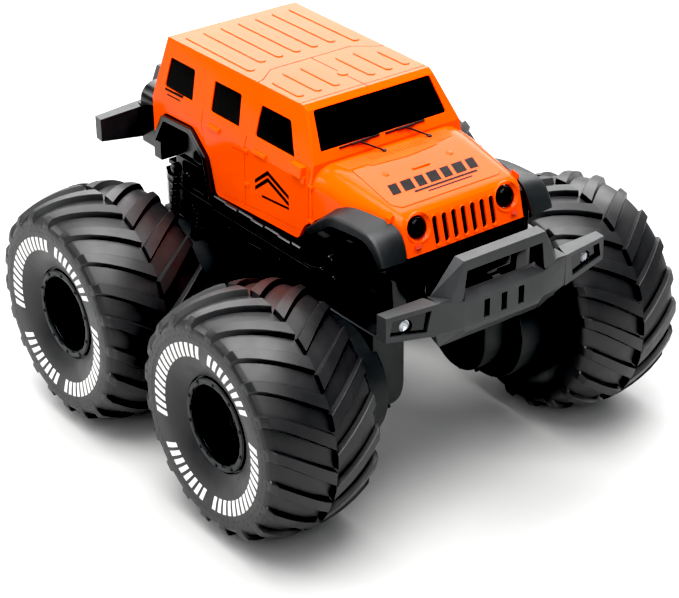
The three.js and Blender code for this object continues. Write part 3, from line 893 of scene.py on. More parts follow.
# stations along the bonnet: y, half width, drop below the bonnet's plane, then how far in
# and how far down its rounded shoulder reaches
bonnetStations = [
    (-38, 45.2, 0, 12, 10), (-46, 45, 0, 12, 10), (-55, 44.4, 0, 12, 10), (-64, 43.4, 0, 12, 10),
    (-72, 42.1, 0, 11, 9.5), (-80, 40.4, 0, 9.5, 8), (-87, 38.6, 0, 7, 6), (-91.5, 37.4, 0.1, 5.5, 5),
    (-94, 36.6, 0.5, 4.5, 4.5), (-95.8, 35.9, 1.2, 4, 4), (-97, 35.3, 2.4, 3.5, 3.5),
    (-97.7, 34.8, 4, 2.5, 2.5), (-101.5, 34.3, 17.1, 0.6, 0.6),
]
hood = {"line": [(-91, 151.5), (-62, 156.8), (-56, 157.7), (-38, 158.6)]}   # y and z along its middle
nose = {"foot": (-101.5, 132.5), "head": (-97.7, 146.3)}


def hoodAt(y):
    line = hood["line"]
    i = min(sum(y > place for place, _ in line[1:]), len(line) - 2)
    (y0, z0), (y1, z1) = line[i], line[i + 1]
    return mix(z0, z1, (y - y0) / (y1 - y0))


def bonnetHull(inset):
    points = []
    for y, half, drop, across, down in bonnetStations:
        top = hoodAt(y) - drop - inset
        place = y + (inset if y < -90 else 0) + (5 if inset and y > -40 else 0)
        for angle in range(0, 91, 10):
            t = math.radians(angle)
            points.append((half - inset - across * (1 - math.cos(t)), place, top - down * (1 - math.sin(t))))
        points.append((half - inset, place, cabin["foot"]))
    return hullOf(mirrored(points))


def arcPoints(cx, cy, radius, start, end, steps):
    return [
        (cx + radius * math.cos(math.radians(mix(start, end, i / steps))),
         cy + radius * math.sin(math.radians(mix(start, end, i / steps))))
        for i in range(steps + 1)
    ]


def roundedOutline(outline, radius, steps=4):
    # the same outline with each corner rounded off
    points = []
    count = len(outline)
    for i in range(count):
        here = Vector(outline[i])
        before = Vector(outline[i - 1]) - here
        after = Vector(outline[(i + 1) % count]) - here
        reach = min(radius, before.length / 2.2, after.length / 2.2)
        start = here + before.normalized() * reach
        end = here + after.normalized() * reach
        for j in range(steps + 1):
            share = j / steps
            point = start * (1 - share) ** 2 + here * 2 * share * (1 - share) + end * share ** 2
            points.append((point.x, point.y))
    return points


sideOutline = [
    (100, 131.7), (88, 131.7), (80, 145), (54, 146), (40.5, 134.4), (35.4, 116),
    (-33, 119), (-38, 127.7), (-65.5, 147), (-92, 147), (-96.5, 132.5), (-108, 132.5),
    (-108, 200), (100, 200),
]
sideWindows = [
    [(56, 158.5), (80.5, 158.5), (78.5, 174), (57, 174)],
    [(16, 158.5), (40, 158.5), (40, 174), (17.5, 174)],
    [(-29, 158.5), (2.5, 158.5), (1.5, 174), (-21.5, 174)],
]
windscreen = {"head": (-31.6, 180.7, 34.4), "foot": (-41.2, 163.8, 37.4)}
grille = {"slots": 7, "pitch": 5.57, "half": 1.45, "bottom": 134, "top": 147.2, "rim": 0.55, "rise": 0.45}
lamp = {
    "x": 26, "z": 144.3, "bowl": 6.7, "holeRadius": 5.3,
    "lens": [(-1.2, 5), (-0.2, 4.7), (0.8, 3.9), (1.5, 2.6), (1.9, 1.2)],   # how far out, and radius
}
signal = {"x": 28.4, "z": 136.3, "radius": 2.1}


def sideAt(z):
    if z <= 150:
        return sideHalf
    if z <= 160.6:
        return mix(sideHalf, 43.5, (z - 150) / 10.6)
    return mix(43.5, 38.8, (z - 160.6) / (roofPanel - 160.6))


def draftedWindow(outline, side, size):
    # the opening flares a little outwards, as a moulded one does
    centre = Vector((sum(y for y, _ in outline), sum(z for _, z in outline))) / len(outline)
    points = []
    for x, grow in ((30, 0.97 * size), (60, 1.06 * size)):
        for y, z in roundedOutline(outline, 1.4):
            points.append((side * x, centre.x + (y - centre.x) * grow, centre.y + (z - centre.y) * grow))
    return hullOf(points)


def windowTools(size):
    # the openings all round the cabin; a size just under 1 gives the panes that fill them
    tools = [draftedWindow(outline, side, size) for outline in sideWindows for side in (1, -1)]
    headY, headZ, headHalf = windscreen["head"]
    footY, footZ, footHalf = windscreen["foot"]
    middleZ = (headZ + footZ) / 2
    outline = roundedOutline([
        (headHalf, headZ), (footHalf, footZ), (-footHalf, footZ), (-headHalf, headZ)], 1.2)
    front = swept([(x * size, middleZ + (z - middleZ) * size) for x, z in outline], -5, 5, "Y")
    for vert in front.verts:
        vert.co.y += mix(footY, headY, (vert.co.z - footZ) / (headZ - footZ))
    rear = roundedOutline([(-29, 158.5), (29, 158.5), (27, 174), (-27, 174)], 3)
    return tools + [front, swept([(x * size, z) for x, z in rear], 80, 95, "Y")]


def noseAt(z):
    (footY, footZ), (headY, headZ) = nose["foot"], nose["head"]
    return mix(footY, headY, (z - footZ) / (headZ - footZ))


noseTilt = math.atan2(noseAt(1) - noseAt(0), 1)


def onNose(bm):
    for vert in bm.verts:
        vert.co.y += noseAt(vert.co.z)
    return bm


def onHood(bm):
    # laid on the bonnet, with an edge added wherever the bonnet bends
    for y, _ in hood["line"][1:-1]:
        everything = bm.verts[:] + bm.edges[:] + bm.faces[:]
        bmesh.ops.bisect_plane(bm, geom=everything, dist=0.001, plane_co=(0, y, 0), plane_no=(0, 1, 0))
    for vert in bm.verts:
        vert.co.z += hoodAt(vert.co.y)
    return bm


def facingForward(bm, x, z, out=0):
    # a piece turned about X, now pointing out of the nose panel
    return placed(bm, x, noseAt(z) - out, z, turnZ=-math.pi / 2, turnY=-noseTilt)


def grilleXs():
    return [(i - (grille["slots"] - 1) / 2) * grille["pitch"] for i in range(grille["slots"])]


def grilleSlot(x, grow, front, back):
    half = grille["half"] + grow
    outline = (arcPoints(x, grille["top"] - grille["half"], half, 0, 180, 8)
               + arcPoints(x, grille["bottom"] + grille["half"], half, 180, 360, 8))
    return onNose(swept(outline, front, back, "Y"))


def sideLine(points, width, depth):
    # a groove along both side panels, as one small tool for each stretch
    tools = []
    for (y0, z0), (y1, z1) in zip(points, points[1:]):
        along = Vector((y1 - y0, z1 - z0)).normalized()
        across = Vector((-along.y, along.x)) * width / 2
        for side in (1, -1):
            corner = []
            for y, z in ((y0, z0), (y1, z1)):
                for sign in (1, -1):
                    cy, cz = y + sign * across.x, z + sign * across.y
                    corner += [(side * (sideAt(cz) - depth), cy, cz), (side * (sideAt(cz) + 1), cy, cz)]
            tools.append(hullOf(corner))
    return tools


panelLines = {
    "width": 0.5, "depth": 0.5,
    "lines": [
        [(-41.6, 121), (-41.6, 150), (-41.6, 157)],
        [(10, 119), (10, 150), (9, 156.5)],
        [(10, 148), (20, 147)],
        [(44, 139), (46.5, 150), (46.5, 157)],
        [(30, 118.6), (-7, 122), (-37, 124)],
    ],
}


roofLines = {
    "halfWidth": 0.28, "depth": 0.5,
    "joint": [(-41, 6), (-33.9, 8.8), (-24, 16.6), (24, 16.6), (33.9, 8.8), (41, 6)],   # across the roof
    "seams": ((16.6, -4.8), (-12.2, -29)),      # down the middle, from y to y
    "crease": (-25.4, -24.9), "creaseDepth": 0.35,
}


def roofTools():
    half, high = roofLines["halfWidth"], roofPanel + 1
    low = roofPanel - roofLines["depth"]
    tools = []
    for start, end in zip(roofLines["joint"], roofLines["joint"][1:]):
        tools.append(hullOf([
            (x, y + d, z) for x, y in (start, end) for d in (-half, half) for z in (low, high)]))
    for y0, y1 in roofLines["seams"]:
        tools.append(box((-half, half), (y1, y0), (low, high)))
    tools.append(box((-50, 50), roofLines["crease"], (roofPanel - roofLines["creaseDepth"], high)))
    return tools


def makeBodyShell():
    outer = union(softened(cabinHull(0), cabin["round"], 4, 18), bonnetHull(0))
    inner = union(cabinHull(cabin["wall"]), bonnetHull(cabin["wall"]))
    cuts = windowTools(1)
    cuts += [grilleSlot(x, 0, -5, 6) for x in grilleXs()]
    for side in (1, -1):
        hole = lamp["holeRadius"]
        mouth = lamp["bowl"] + 1.9
        bowl = turned([(-6, 0), (-6, hole), (-1.3, hole), (0, lamp["bowl"]), (2, mouth), (2, 0)], 48)
        cuts.append(facingForward(bowl, side * lamp["x"], lamp["z"]))
    for line in panelLines["lines"]:
        cuts += sideLine(line, panelLines["width"], panelLines["depth"])
    cuts += roofTools()
    shell = boolean(outer, [swept(roundedOutline(sideOutline, 2.5), -60, 60, "X")], "INTERSECT")
    return cut(cut(shell, inner), *cuts)


def makePanes():
    # glossy panes set just below the surface of the cabin, filling its openings
    skin = cut(cabinHull(0.6), cabinHull(1.9))
    return boolean(skin, [gathered(*windowTools(0.995))], "INTERSECT")


addPiece("body_moulding", makeBodyShell(), orangeAbs, standsFor=["body_shell"], sharp=30)
addPiece("window_panes", makePanes(), windowBlack)
print("body shell made")

roof = {
    "ribs": 7, "pitch": 10.5, "width": 4.2,
    "rearEnd": 77, "frontEnd": 26.4, "shortFrontEnd": 20.5,    # the long ribs, and their two outer ones
    "noseEnd": -19, "noseRear": 9.6, "shortNoseRear": 3.5,     # the short ribs in front of the joint
    "badge": (-11.4, -5.6), "badgeHalf": 2.4,
}


def capsule(y0, y1, half, low, high, taper=0.35):
    # a bar along Y with round ends, tapering a little to its top
    points = []
    for z, r in ((low, half), (high - 0.15, half), (high, half - taper)):
        for x, y in arcPoints(0, y1 - half, r, 0, 180, 8) + arcPoints(0, y0 + half, r, 180, 360, 8):
            points.append((x, y, z))
    return hullOf(points)


def makeRoofRibs():
    base, top = roofPanel - 0.6, carHeight
    half = roof["width"] / 2
    last = roof["ribs"] // 2
    ribs = []
    for i in range(-last, last + 1):
        front = roof["shortFrontEnd"] if abs(i) == last else roof["frontEnd"]
        ribs.append(placed(capsule(front, roof["rearEnd"], half, base, top), i * roof["pitch"]))
        if i:
            rear = roof["shortNoseRear"] if abs(i) == last else roof["noseRear"]
            ribs.append(placed(capsule(roof["noseEnd"], rear, half, base, top), i * roof["pitch"]))
    ribs.append(capsule(*roof["badge"], roof["badgeHalf"], base, top))
    return gathered(*ribs)


def dome(radius, height):
    return turned([
        (-1.5, 0), (-1.5, radius), (0, radius), (height * 0.55, radius * 0.84),
        (height * 0.9, radius * 0.45), (height, 0),
    ], 28)


hoodPanel = {
    "rise": 0.35, "half": 31.5, "front": -90,
    "rear": [(21, -54.8), (19.8, -57), (0, -58.6), (-19.8, -57), (-21, -54.8)], "rearCorner": -54.6,
}


def makeHoodPanel():
    half, front, corner = hoodPanel["half"], hoodPanel["front"], hoodPanel["rearCorner"]
    outline = roundedOutline([
        (half - 3, front), (half + 0.6, front + 4), (half - 1, corner), *hoodPanel["rear"],
        (1 - half, corner), (-half - 0.6, front + 4), (3 - half, front)], 1.2)
    panel = softened(swept(outline, -1, hoodPanel["rise"], "Z"), 0.3, 2, 40)
    return onHood(panel)


cowl = {
    "rise": 0.2, "half": 33.5, "back": -45.5,
    "edge": [(31, -54), (20.4, -54.2), (19.2, -56.4), (0, -58), (-19.2, -56.4), (-20.4, -54.2), (-31, -54)],
    "vents": 17, "ventPitch": 1.9, "ventEnds": (-52.4, -48.6), "ventHalf": 0.4,
}


def makeCowl():
    # a grained strip under the windscreen, with a row of air vents
    back, half = cowl["back"], cowl["half"]
    outline = roundedOutline([(-half, back), (half, back)] + cowl["edge"], 0.8)
    parts = [softened(swept(outline, -1, cowl["rise"], "Z"), 0.1, 1, 40)]
    for i in range(cowl["vents"]):
        x = (i - (cowl["vents"] - 1) / 2) * cowl["ventPitch"]
        parts.append(placed(capsule(*cowl["ventEnds"], cowl["ventHalf"], -0.5, 0.45, 0.1), x))
    return onHood(gathered(*parts))


hoodButton = {"x": 19, "y": -65.6, "radius": 1.9, "height": 0.7, "barY": -67.9, "barHalf": 5.2}


def makeHoodButtons():
    # two round buttons, and a short bar across the hood between them
    rise, end = hoodPanel["rise"], hoodButton["barHalf"]
    parts = []
    for x in (-hoodButton["x"], hoodButton["x"]):
        button = dome(hoodButton["radius"], hoodButton["height"])
        parts.append(placed(button, x, hoodButton["y"], rise - 0.1, turnY=-math.pi / 2))
    parts.append(placed(capsule(-end, end, 0.9, -0.5, rise + 0.7), y=hoodButton["barY"], turnZ=math.pi / 2))
    return onHood(gathered(*parts))


def makeLatches():
    # a strap over each front corner of the hood, and the catch under it
    strap = [(35.8, y, hoodAt(y) + dz) for y in (-90, -93) for dz in (-2, 0.9)]
    strap += [(38.4, y, hoodAt(y) - d) for y in (-90, -93) for d in (1.2, 6)]
    catch = [(x, y, z) for x in (36.2, 38.8) for y in (-90.7, -92.3) for z in (143.5, 148)]
    return gathered(*onBothSides(strap, 0.35), *onBothSides(catch, 0.3))


sideFittings = {
    "handles": (35.7, -3), "handleHalf": 5, "handleZ": (150.6, 152.3),
    "hinges": (-43.4, 8.2), "hingeZ": (131, 148.5), "hingeSize": 1.7,
    "mirrorFoot": (-38.2, -28.8, 152, 157.6), "mirrorStay": (-39.4, -36.4, 149.4, 153),
}


def sideBlock(y0, y1, z0, z1, out, width):
    return onBothSides(
        [(sideAt(z) + x, y, z) for y in (y0, y1) for z in (z0, z1) for x in (-1.2, out)], width)


def makeSideFittings():
    parts = []
    half, hinge = sideFittings["handleHalf"], sideFittings["hingeSize"]
    for y in sideFittings["handles"]:
        parts += sideBlock(y - half, y + half, *sideFittings["handleZ"], 1.1, 0.4)
        for end in (y - half + 0.5, y + half - 0.5):
            parts += sideBlock(end - 0.9, end + 0.9, 150, 152.9, 0.5, 0.2)
    for y in sideFittings["hinges"]:
        for z in sideFittings["hingeZ"]:
            parts += sideBlock(y - hinge, y + hinge, z, z + hinge, 0.7, 0.3)
    parts += sideBlock(*sideFittings["mirrorFoot"], 2.6, 0.7)
    parts += sideBlock(*sideFittings["mirrorStay"], 1.2, 0.4)
    return gathered(*parts)


def makeNoseTrim():
    parts = []
    for x in grilleXs():
        rim = cut(grilleSlot(x, grille["rim"], -grille["rise"], 0.6), grilleSlot(x, 0, -3, 3))
        parts.append(softened(rim, 0.15, 2, 50))
    for side in (1, -1):
        bezel = turned([(-0.6, 6.6), (0.35, 6.75), (0.55, 7.0), (0.3, 7.3), (-0.6, 7.5)], 48, closed=True)
        parts.append(facingForward(bezel, side * lamp["x"], lamp["z"]))
        seat = turned([(-0.6, 1.9), (0.4, 2), (0.4, 2.5), (-0.6, 2.8)], 28, closed=True)
        parts.append(facingForward(seat, side * signal["x"], signal["z"]))
    return gathered(*parts)


addPiece("roof_ribs", makeRoofRibs(), orangeAbs)
addPiece("hood_panel", makeHoodPanel(), orangeAbs)
addPiece("cowl_strip", makeCowl(), grainedOrangeAbs)
addPiece("hood_buttons", makeHoodButtons(), orangeAbs)
addPiece("hood_latches", makeLatches(), orangeAbs)
addPiece("side_fittings", makeSideFittings(), orangeAbs)
addPiece("nose_trim", makeNoseTrim(), orangeAbs)
grilleMesh = gathered(*[grilleSlot(x, 0.1, 0.8, 1.6) for x in grilleXs()])
addPiece("grille_mesh", grilleMesh, windowBlack)
for word, side in (("right", -1), ("left", 1)):
    radius = lamp["lens"][0][1]
    lens = turned([(-3, 0), (-3, radius), *lamp["lens"], (2, 0)], 40)
    facingForward(lens, side * lamp["x"], lamp["z"])
    addPiece(f"head_lamp_{word}", lens, windowBlack, standsFor=[f"headlight_{word}"])
    lens = facingForward(dome(signal["radius"], 1.3), side * signal["x"], signal["z"])
    addPiece(f"turn_signal_{word}", lens, amberLens)
print("body fittings made")


# Printed marks: plain shapes, a hair thicker than the paint they stand for

ink = 0.07


hoodMarks = {
    "bars": 7, "pitch": 7.6, "lean": 1.2, "front": -80.8, "rear": -73.2, "halfWidths": (2.5, 3.1),
    "lines": ((-16, 21, -83.6, -82.2), (-10, 16, -85.9, -84.9)),     # x from and to, y from and to
}


def makeHoodMarks():
    low, high = hoodPanel["rise"] - 0.3, hoodPanel["rise"] + ink
    lean, front, rear = hoodMarks["lean"], hoodMarks["front"], hoodMarks["rear"]
    marks = []
    for i in range(hoodMarks["bars"]):
        x = (i - (hoodMarks["bars"] - 1) / 2) * hoodMarks["pitch"]
        half = hoodMarks["halfWidths"][i % 2]
        outline = [
            (x - half - lean, front), (x + half - lean, front),
            (x + half + lean, rear), (x - half + lean, rear)]
        marks.append(swept(outline, low, high, "Z"))
    for x0, x1, y0, y1 in hoodMarks["lines"]:
        marks.append(swept([(x0, y0), (x1, y0), (x1 + 0.5, y1), (x0 + 0.5, y1)], low, high, "Z"))
    return onHood(gathered(*marks))


def sideMark(outline):
    # a flat shape on both side panels, following their slope
    marks = []
    for side in (1, -1):
        bm = swept(outline, -0.3, ink, "X")
        for vert in bm.verts:
            vert.co.x += sideAt(vert.co.z)
        marks.append(flippedX(bm) if side < 0 else bm)
    return marks


sideMarks = {
    "chevron": [(1.5, 137), (-9.3, 145.4), (-26, 138.6), (-26, 136.6), (-9.3, 143), (1.5, 135)],
    "chevronDrops": (0, 3.6),
    "bars": [
        [(-4, 130.8), (-26, 132.4), (-26, 131.2), (-4, 129.6)],
        [(64, 158.6), (80, 158.2), (80, 156.9), (64, 157.3)],
        [(66, 155.9), (78, 155.6), (78, 154.9), (66, 155.2)],
    ],
}


def makeSideMarks():
    marks = []
    for drop in sideMarks["chevronDrops"]:
        marks += sideMark([(y, z - drop) for y, z in sideMarks["chevron"]])
    for bar in sideMarks["bars"]:
        marks += sideMark(bar)
    return gathered(*marks)


addPiece("hood_marks", makeHoodMarks(), blackInk)
addPiece("side_marks", makeSideMarks(), blackInk)


# Wipers

wiper = {"middles": {"right": -15.6, "left": 11.5}, "half": 11.8, "armRun": 9.7, "footY": -48.2}


def barBetween(start, end, half):
    # a slim square bar between two points
    start, end = Vector(start), Vector(end)
    along = (end - start).normalized()
    across = along.cross(Vector((0, 0, 1))).normalized()
    upward = across.cross(along)
    return hullOf([
        tuple(point + across * a * half + upward * u * half)
        for point in (start, end) for a in (1, -1) for u in (1, -1)])


def makeWiper(x):
    y, z = windscreen["foot"][0] - 0.6, windscreen["foot"][1] - 0.2
    blade = softened(barBetween((x - wiper["half"], y, z), (x + wiper["half"], y, z + 0.4), 0.42), 0.12)
    spine = softened(barBetween((x - 5, y - 0.8, z + 0.2), (x + 5, y - 0.8, z + 0.4), 0.35), 0.1)
    footY = wiper["footY"]
    foot = (x + wiper["armRun"], footY, hoodAt(footY) + 0.6)
    arm = softened(barBetween((x, y - 0.8, z + 0.2), foot, 0.42), 0.12)
    pivot = placed(dome(1.2, 1.0), x + wiper["armRun"], footY, hoodAt(footY) + 0.4, turnY=-math.pi / 2)
    return gathered(blade, spine, arm, pivot)


for word, x in wiper["middles"].items():
    addPiece(f"wiper_arm_{word}", makeWiper(x), satinBlackPp, standsFor=[f"wiper_{word}"])
print("marks and wipers made")


# Base frame, mudguards and rear arches

# outer edge (x, y, z), then inner edge (x, y, z), from the sill round to the nose
mudguardStations = [
    ((46.8, -39.5, 126.6), (43.5, -39.5, 127.6)), ((47.4, -46, 131.6), (43.5, -46, 132.8)),
    ((48.8, -54.5, 137.8), (43.5, -54, 139.4)), ((50.2, -61.5, 142.6), (43.2, -61, 145)),
    ((50.9, -66.5, 144.5), (42.6, -66.5, 147.6)), ((51, -72, 145.3), (41.8, -72.5, 149)),
    ((51, -79, 145.8), (40.5, -80, 149.2)), ((51, -87, 146), (38.6, -88, 148.6)),
    ((51, -92, 145.7), (37.3, -93.4, 147.8)), ((51, -95.6, 144.4), (36.8, -97, 146.4)),
    ((51, -98.7, 142.1), (36.6, -99.8, 143.8)), ((50.8, -101.2, 139), (36.6, -101.8, 140.4)),
    ((50.6, -103.1, 135.8), (36.8, -103.2, 136.4)), ((50.4, -103.9, 133.6), (37.2, -103.9, 132.8)),
]
mudguard = {"skirt": 4.6, "thick": 1.6, "pivot": (-72, 116)}


def makeMudguard(side):
    bm = bmesh.new()
    rows = []
    for outer, inner in mudguardStations:
        o, i = Vector(outer), Vector(inner)
        inward = Vector((0, mudguard["pivot"][0] - o.y, mudguard["pivot"][1] - o.z)).normalized()
        t, skirt = mudguard["thick"], mudguard["skirt"]
        out = Vector((1, 0, 0))
        loop = [
            i + inward * t, i, i.lerp(o, 0.5) - inward * 0.3, i.lerp(o, 0.84) - inward * 0.15,
            i.lerp(o, 0.95) + inward * 0.1, o + inward * 0.5 - out * 0.15, o + inward * 1.2,
            o + inward * skirt, o + inward * skirt - out * t, o + inward * (t + 0.8) - out * t,
            i.lerp(o, 0.5) + inward * t,
        ]
        rows.append([bm.verts.new((side * p.x, p.y, p.z)) for p in loop])
    bridge(bm, rows)
    bm.faces.new(rows[0])
    bm.faces.new(rows[-1])
    bmesh.ops.recalc_face_normals(bm, faces=bm.faces[:])
    return bm


frameBox = {
    "half": 37, "floor": 110.4, "front": -99,
    "walls": (((36, 84.5), 143), ((-98, -36), 132.5)),      # y from and to, and the top
    "sillEnds": (-36, 36.5), "sill": [(46.2, 116), (46.9, 115.3), (46.9, 111)],
    "steps": (-24, -2, 20), "stepHalf": 5, "step": [(45, 116.1), (47.1, 116.1), (47.8, 115.4), (47.8, 112)],
    "rearPost": ((84, 91), (117, 127.5)), "archWall": ((-96.5, -95), (110.4, 142.5)),   # y and z spans
    "arch": [
        (36, 112), (40.9, 134.1), (54.1, 145.5), (79.7, 144.3), (87.4, 131.3), (90, 127.5),
        (86.5, 127.5), (78, 141.5), (55.2, 142.4), (44, 132.6), (39.3, 112)],
}


def makeBaseFrame():
    half, low, front = frameBox["half"], frameBox["floor"], frameBox["front"]
    parts = [
        softBox((-half, half), (front, 92), (low, low + 2.5), 0.4),
        softBox((-half, half), (front - 0.5, front + 1.5), (low, 131.6), 0.4),
    ]
    sill = [(half - 2, low), (half - 2, 116), *frameBox["sill"], (46.4, low)]
    parts += onBothSides([(x, y, z) for y in frameBox["sillEnds"] for x, z in sill], 0.25)
    for middleY in frameBox["steps"]:
        ends = (middleY - frameBox["stepHalf"], middleY + frameBox["stepHalf"])
        parts += onBothSides([(x, y, z) for y in ends for x, z in frameBox["step"]], 0.25)
    for side in (1, -1):
        for ends, top in frameBox["walls"]:
            parts.append(softBox(spanOn(side, half - 2, half), ends, (low, top), 0.4))
        parts.append(softBox(spanOn(side, half - 4, 46), *frameBox["rearPost"], 0.9, 3))
        parts.append(softBox(spanOn(side, half - 4.5, 42), *frameBox["archWall"], 0.4))
        arch = swept(roundedOutline(frameBox["arch"], 1.2, 2), side * (half - 1), side * 47.8, "X")
        parts.append(softened(arch, 0.6, 2, 50))
    return gathered(*parts)


addPiece("frame_moulding", makeBaseFrame(), glossBlackAbs, standsFor=["base_frame"])
for word, side in (("right", -1), ("left", 1)):
    addPiece(f"mudguard_{word}", makeMudguard(side), satinBlackPp, sharp=40)
print("base frame made")


# Hull fittings and dampers

hullSkirt = {
    "panel": [(43, 105.5), (43, 86), (33, 73), (8, 73), (-4, 82), (-38, 82), (-43, 88), (-43, 105.5)],
    "hexagon": [(20.2, 90.9), (11.8, 99.3), (-1.2, 100.1), (-8.5, 91.8), (-4, 84), (14, 84)],
    "hexagonMiddle": (5.5, 92), "hexagonOpening": (0.84, 0.82),
    "ribs": (27, -16), "ribZ": (86, 101),
}


def makeHullSkirts():
    # a moulded panel on each side of the hull, with a raised hexagon between two ribs
    parts = []
    (middleY, middleZ), (shareY, shareZ) = hullSkirt["hexagonMiddle"], hullSkirt["hexagonOpening"]
    hexagon = hullSkirt["hexagon"]
    opening = [(middleY + (y - middleY) * shareY, middleZ + (z - middleZ) * shareZ) for y, z in hexagon]
    for side in (1, -1):
        panel = swept(roundedOutline(hullSkirt["panel"], 2), side * 41, side * 44.6, "X")
        parts.append(softened(panel, 0.5, 2, 40))
        raised = cut(swept(hexagon, side * 44, side * 45.3, "X"), swept(opening, side * 43, side * 47, "X"))
        parts.append(softened(raised, 0.3, 2, 40))
        for y in hullSkirt["ribs"]:
            parts.append(softBox(spanOn(side, 44, 45.4), (y - 1, y + 1), hullSkirt["ribZ"], 0.4))
    return gathered(*parts)


noseCap = {
    "outline": [(24, -92), (24, -103), (27, -104.5), (37, -104.5), (43.5, -99.5), (43.5, -90)],
    "low": 104, "high": 124,
}


def makeNoseCaps():
    # a rounded cap on each front corner of the hull, and the shelf that joins them
    parts = [softBox((-25, 25), (-104, -98.5), (112, 120.5), 0.8)]
    for side in (1, -1):
        corner = roundedOutline([(side * x, y) for x, y in noseCap["outline"]], 3.5)
        parts.append(softened(swept(corner, noseCap["low"], noseCap["high"], "Z"), 1.1, 2, 50))
    return gathered(*parts)


damper = {
    "pairs": [((46.8, 68.8, 119), (48.2, 72.4, 88)), ((46.8, 50.2, 104), (48.2, 53.4, 84))],    # top, bottom
    "turns": 8, "radius": 2.1, "wire": 0.55, "rod": 0.9,
    "towers": ((46, 77, 98, 124), (-66, -46, 96, 122)),     # y from and to, z from and to
    "bosses": ((62.5, 114.8, 3.2), (-56.5, 115.8, 3.4), (-59.6, 107.7, 2.2), (-50, 108.7, 2)),
}


def makeSpring(start, end):
    # a coil of round wire about the line between two points
    start, end = Vector(start), Vector(end)
    along = (end - start).normalized()
    across = along.cross(Vector((1, 0, 0))).normalized()
    other = along.cross(across)
    steps, sides = damper["turns"] * 12, 6
    bm = bmesh.new()
    rings = []
    for i in range(steps + 1):
        t = 2 * math.pi * i / 12
        outward = across * math.cos(t) + other * math.sin(t)
        centre = start.lerp(end, i / steps) + outward * damper["radius"]
        rings.append([
            bm.verts.new(centre + damper["wire"] * (
                outward * math.cos(a) + along * math.sin(a)))
            for a in [2 * math.pi * j / sides for j in range(sides)]
        ])
    bridge(bm, rings)
    bm.faces.new(rings[0])
    bm.faces.new(rings[-1])
    bmesh.ops.recalc_face_normals(bm, faces=bm.faces[:])
    return bm


def makeDampers():
    springs, mounts = [], []
    for side in (1, -1):
        for top, bottom in damper["pairs"]:
            start, end = onSide(side, [top, bottom])
            springs.append(makeSpring(start, end))
            mounts.append(barBetween(start, end, damper["rod"]))
            for x, y, z in (start, end):
                eye = softened(turned([(-2.2, 0), (-2.2, 2.6), (1.8, 2.6), (1.8, 0)], 24), 0.5)
                mounts.append(placed(eye, x, y, z))
        for y0, y1, z0, z1 in damper["towers"]:
            tower = swept(roundedOutline([(y0 + 6, z1), (y1 - 4, z1), (y1, z0), (y0, z0)], 3),
                          side * 40, side * 43.6, "X")
            mounts.append(softened(tower, 0.6, 2, 40))      # what the dampers hang on
        for y, z, radius in damper["bosses"]:
            boss = turned([
                (42, 0), (42, radius), (45, radius), (45.4, radius - 0.4), (45.4, radius - 1),
                (44.6, radius - 1.2), (44.6, 0)], 28)
            mounts.append(placed(boss if side > 0 else flippedX(boss), y=y, z=z))
    return gathered(*springs), gathered(*mounts)


springs, damperMounts = makeDampers()
addPiece("hull_side_panels", makeHullSkirts(), glossBlackAbs)
addPiece("nose_caps", makeNoseCaps(), glossBlackAbs)
addPiece("damper_springs", springs, blackOxide)
addPiece("damper_mounts", damperMounts, glossBlackAbs)
print("hull fittings made")


# Bumpers, and the lamps on the front one

def softCopy(node, width):
    # the CAD solid with its sharp edges rolled over
    bm = bmesh.new()
    bm.from_mesh(frame["nodes"][node].data)
    bm.transform(toCar.inverted())
    bmesh.ops.remove_doubles(bm, verts=bm.verts[:], dist=0.01)
    bmesh.ops.dissolve_limit(bm, angle_limit=math.radians(1), verts=bm.verts[:], edges=bm.edges[:])
    return softened(bm, width, 2, 25)


for node, name, material, slot, width in (
        ("tail_box", "tail_moulding", glossBlackAbs, "gloss_black", 0.8),
        ("battery_door", "battery_hatch", satinBlackPp, "satin_black", 0.4),
        ("power_switch", "switch_cap", naturalNylon, "switch_nylon", 0.4)):
    carrier = "switch_knob" if node == "power_switch" else "chassis"
    addPiece(name, softCopy(node, width), material, carrier, [node])


bumper = {
    "edge": 0.35, "slotPitch": 10.2, "slotHalf": 1.7, "slotZ": (106.5, 115.5),
    "arm": (11, 19), "rearShift": -8, "rearRise": 14,
    # the middle plate and the hoop are drawn on one side and mirrored
    "plate": [
        (23.6, -128.1, 118.1), (20.2, -124.2, 120.6), (23.5, -128, 105.4), (22, -127, 102),
        (29, -118, 93.1), (24, -118, 118)],
    "hoop": [(24, -127.6, 138.6), (24.2, -121.4, 138.9), (22.2, -128, 133.5), (22, -121.5, 133.5)],
    # one wing, knee and leg stand on each side
    "wing": [
        (64.7, -123.9, 122), (37.5, -127.5, 122), (65.2, -117.9, 122), (40.3, -119.2, 122.4),
        (64.7, -123.9, 109.8), (65.2, -117.9, 109.8), (38.5, -126.6, 105.5), (38.5, -118.6, 105.5)],
    "knee": [
        (38, -127.4, 122), (32.4, -127.3, 122.2), (23.5, -128.1, 118.1), (23.4, -128, 105.4),
        (29.7, -118, 92.9), (38, -119.2, 122.2), (38.6, -126.4, 106), (38.6, -118.6, 105.5),
        (20, -119, 118)],
    "leg": [
        (22.2, -128, 133.5), (24, -127.8, 120.5), (24, -127.6, 138.6), (31, -127.8, 121),
        (24.2, -121.4, 138.9), (37, -120, 122.3), (22, -121.5, 133.5), (24, -120.8, 120.5),
        (29, -127, 112), (33, -121, 112)],
}
lampPocket = [(41.5, -124.6, 119.6), (61.5, -122, 119.6), (62.8, -122, 112.5), (43.5, -124.4, 109)]
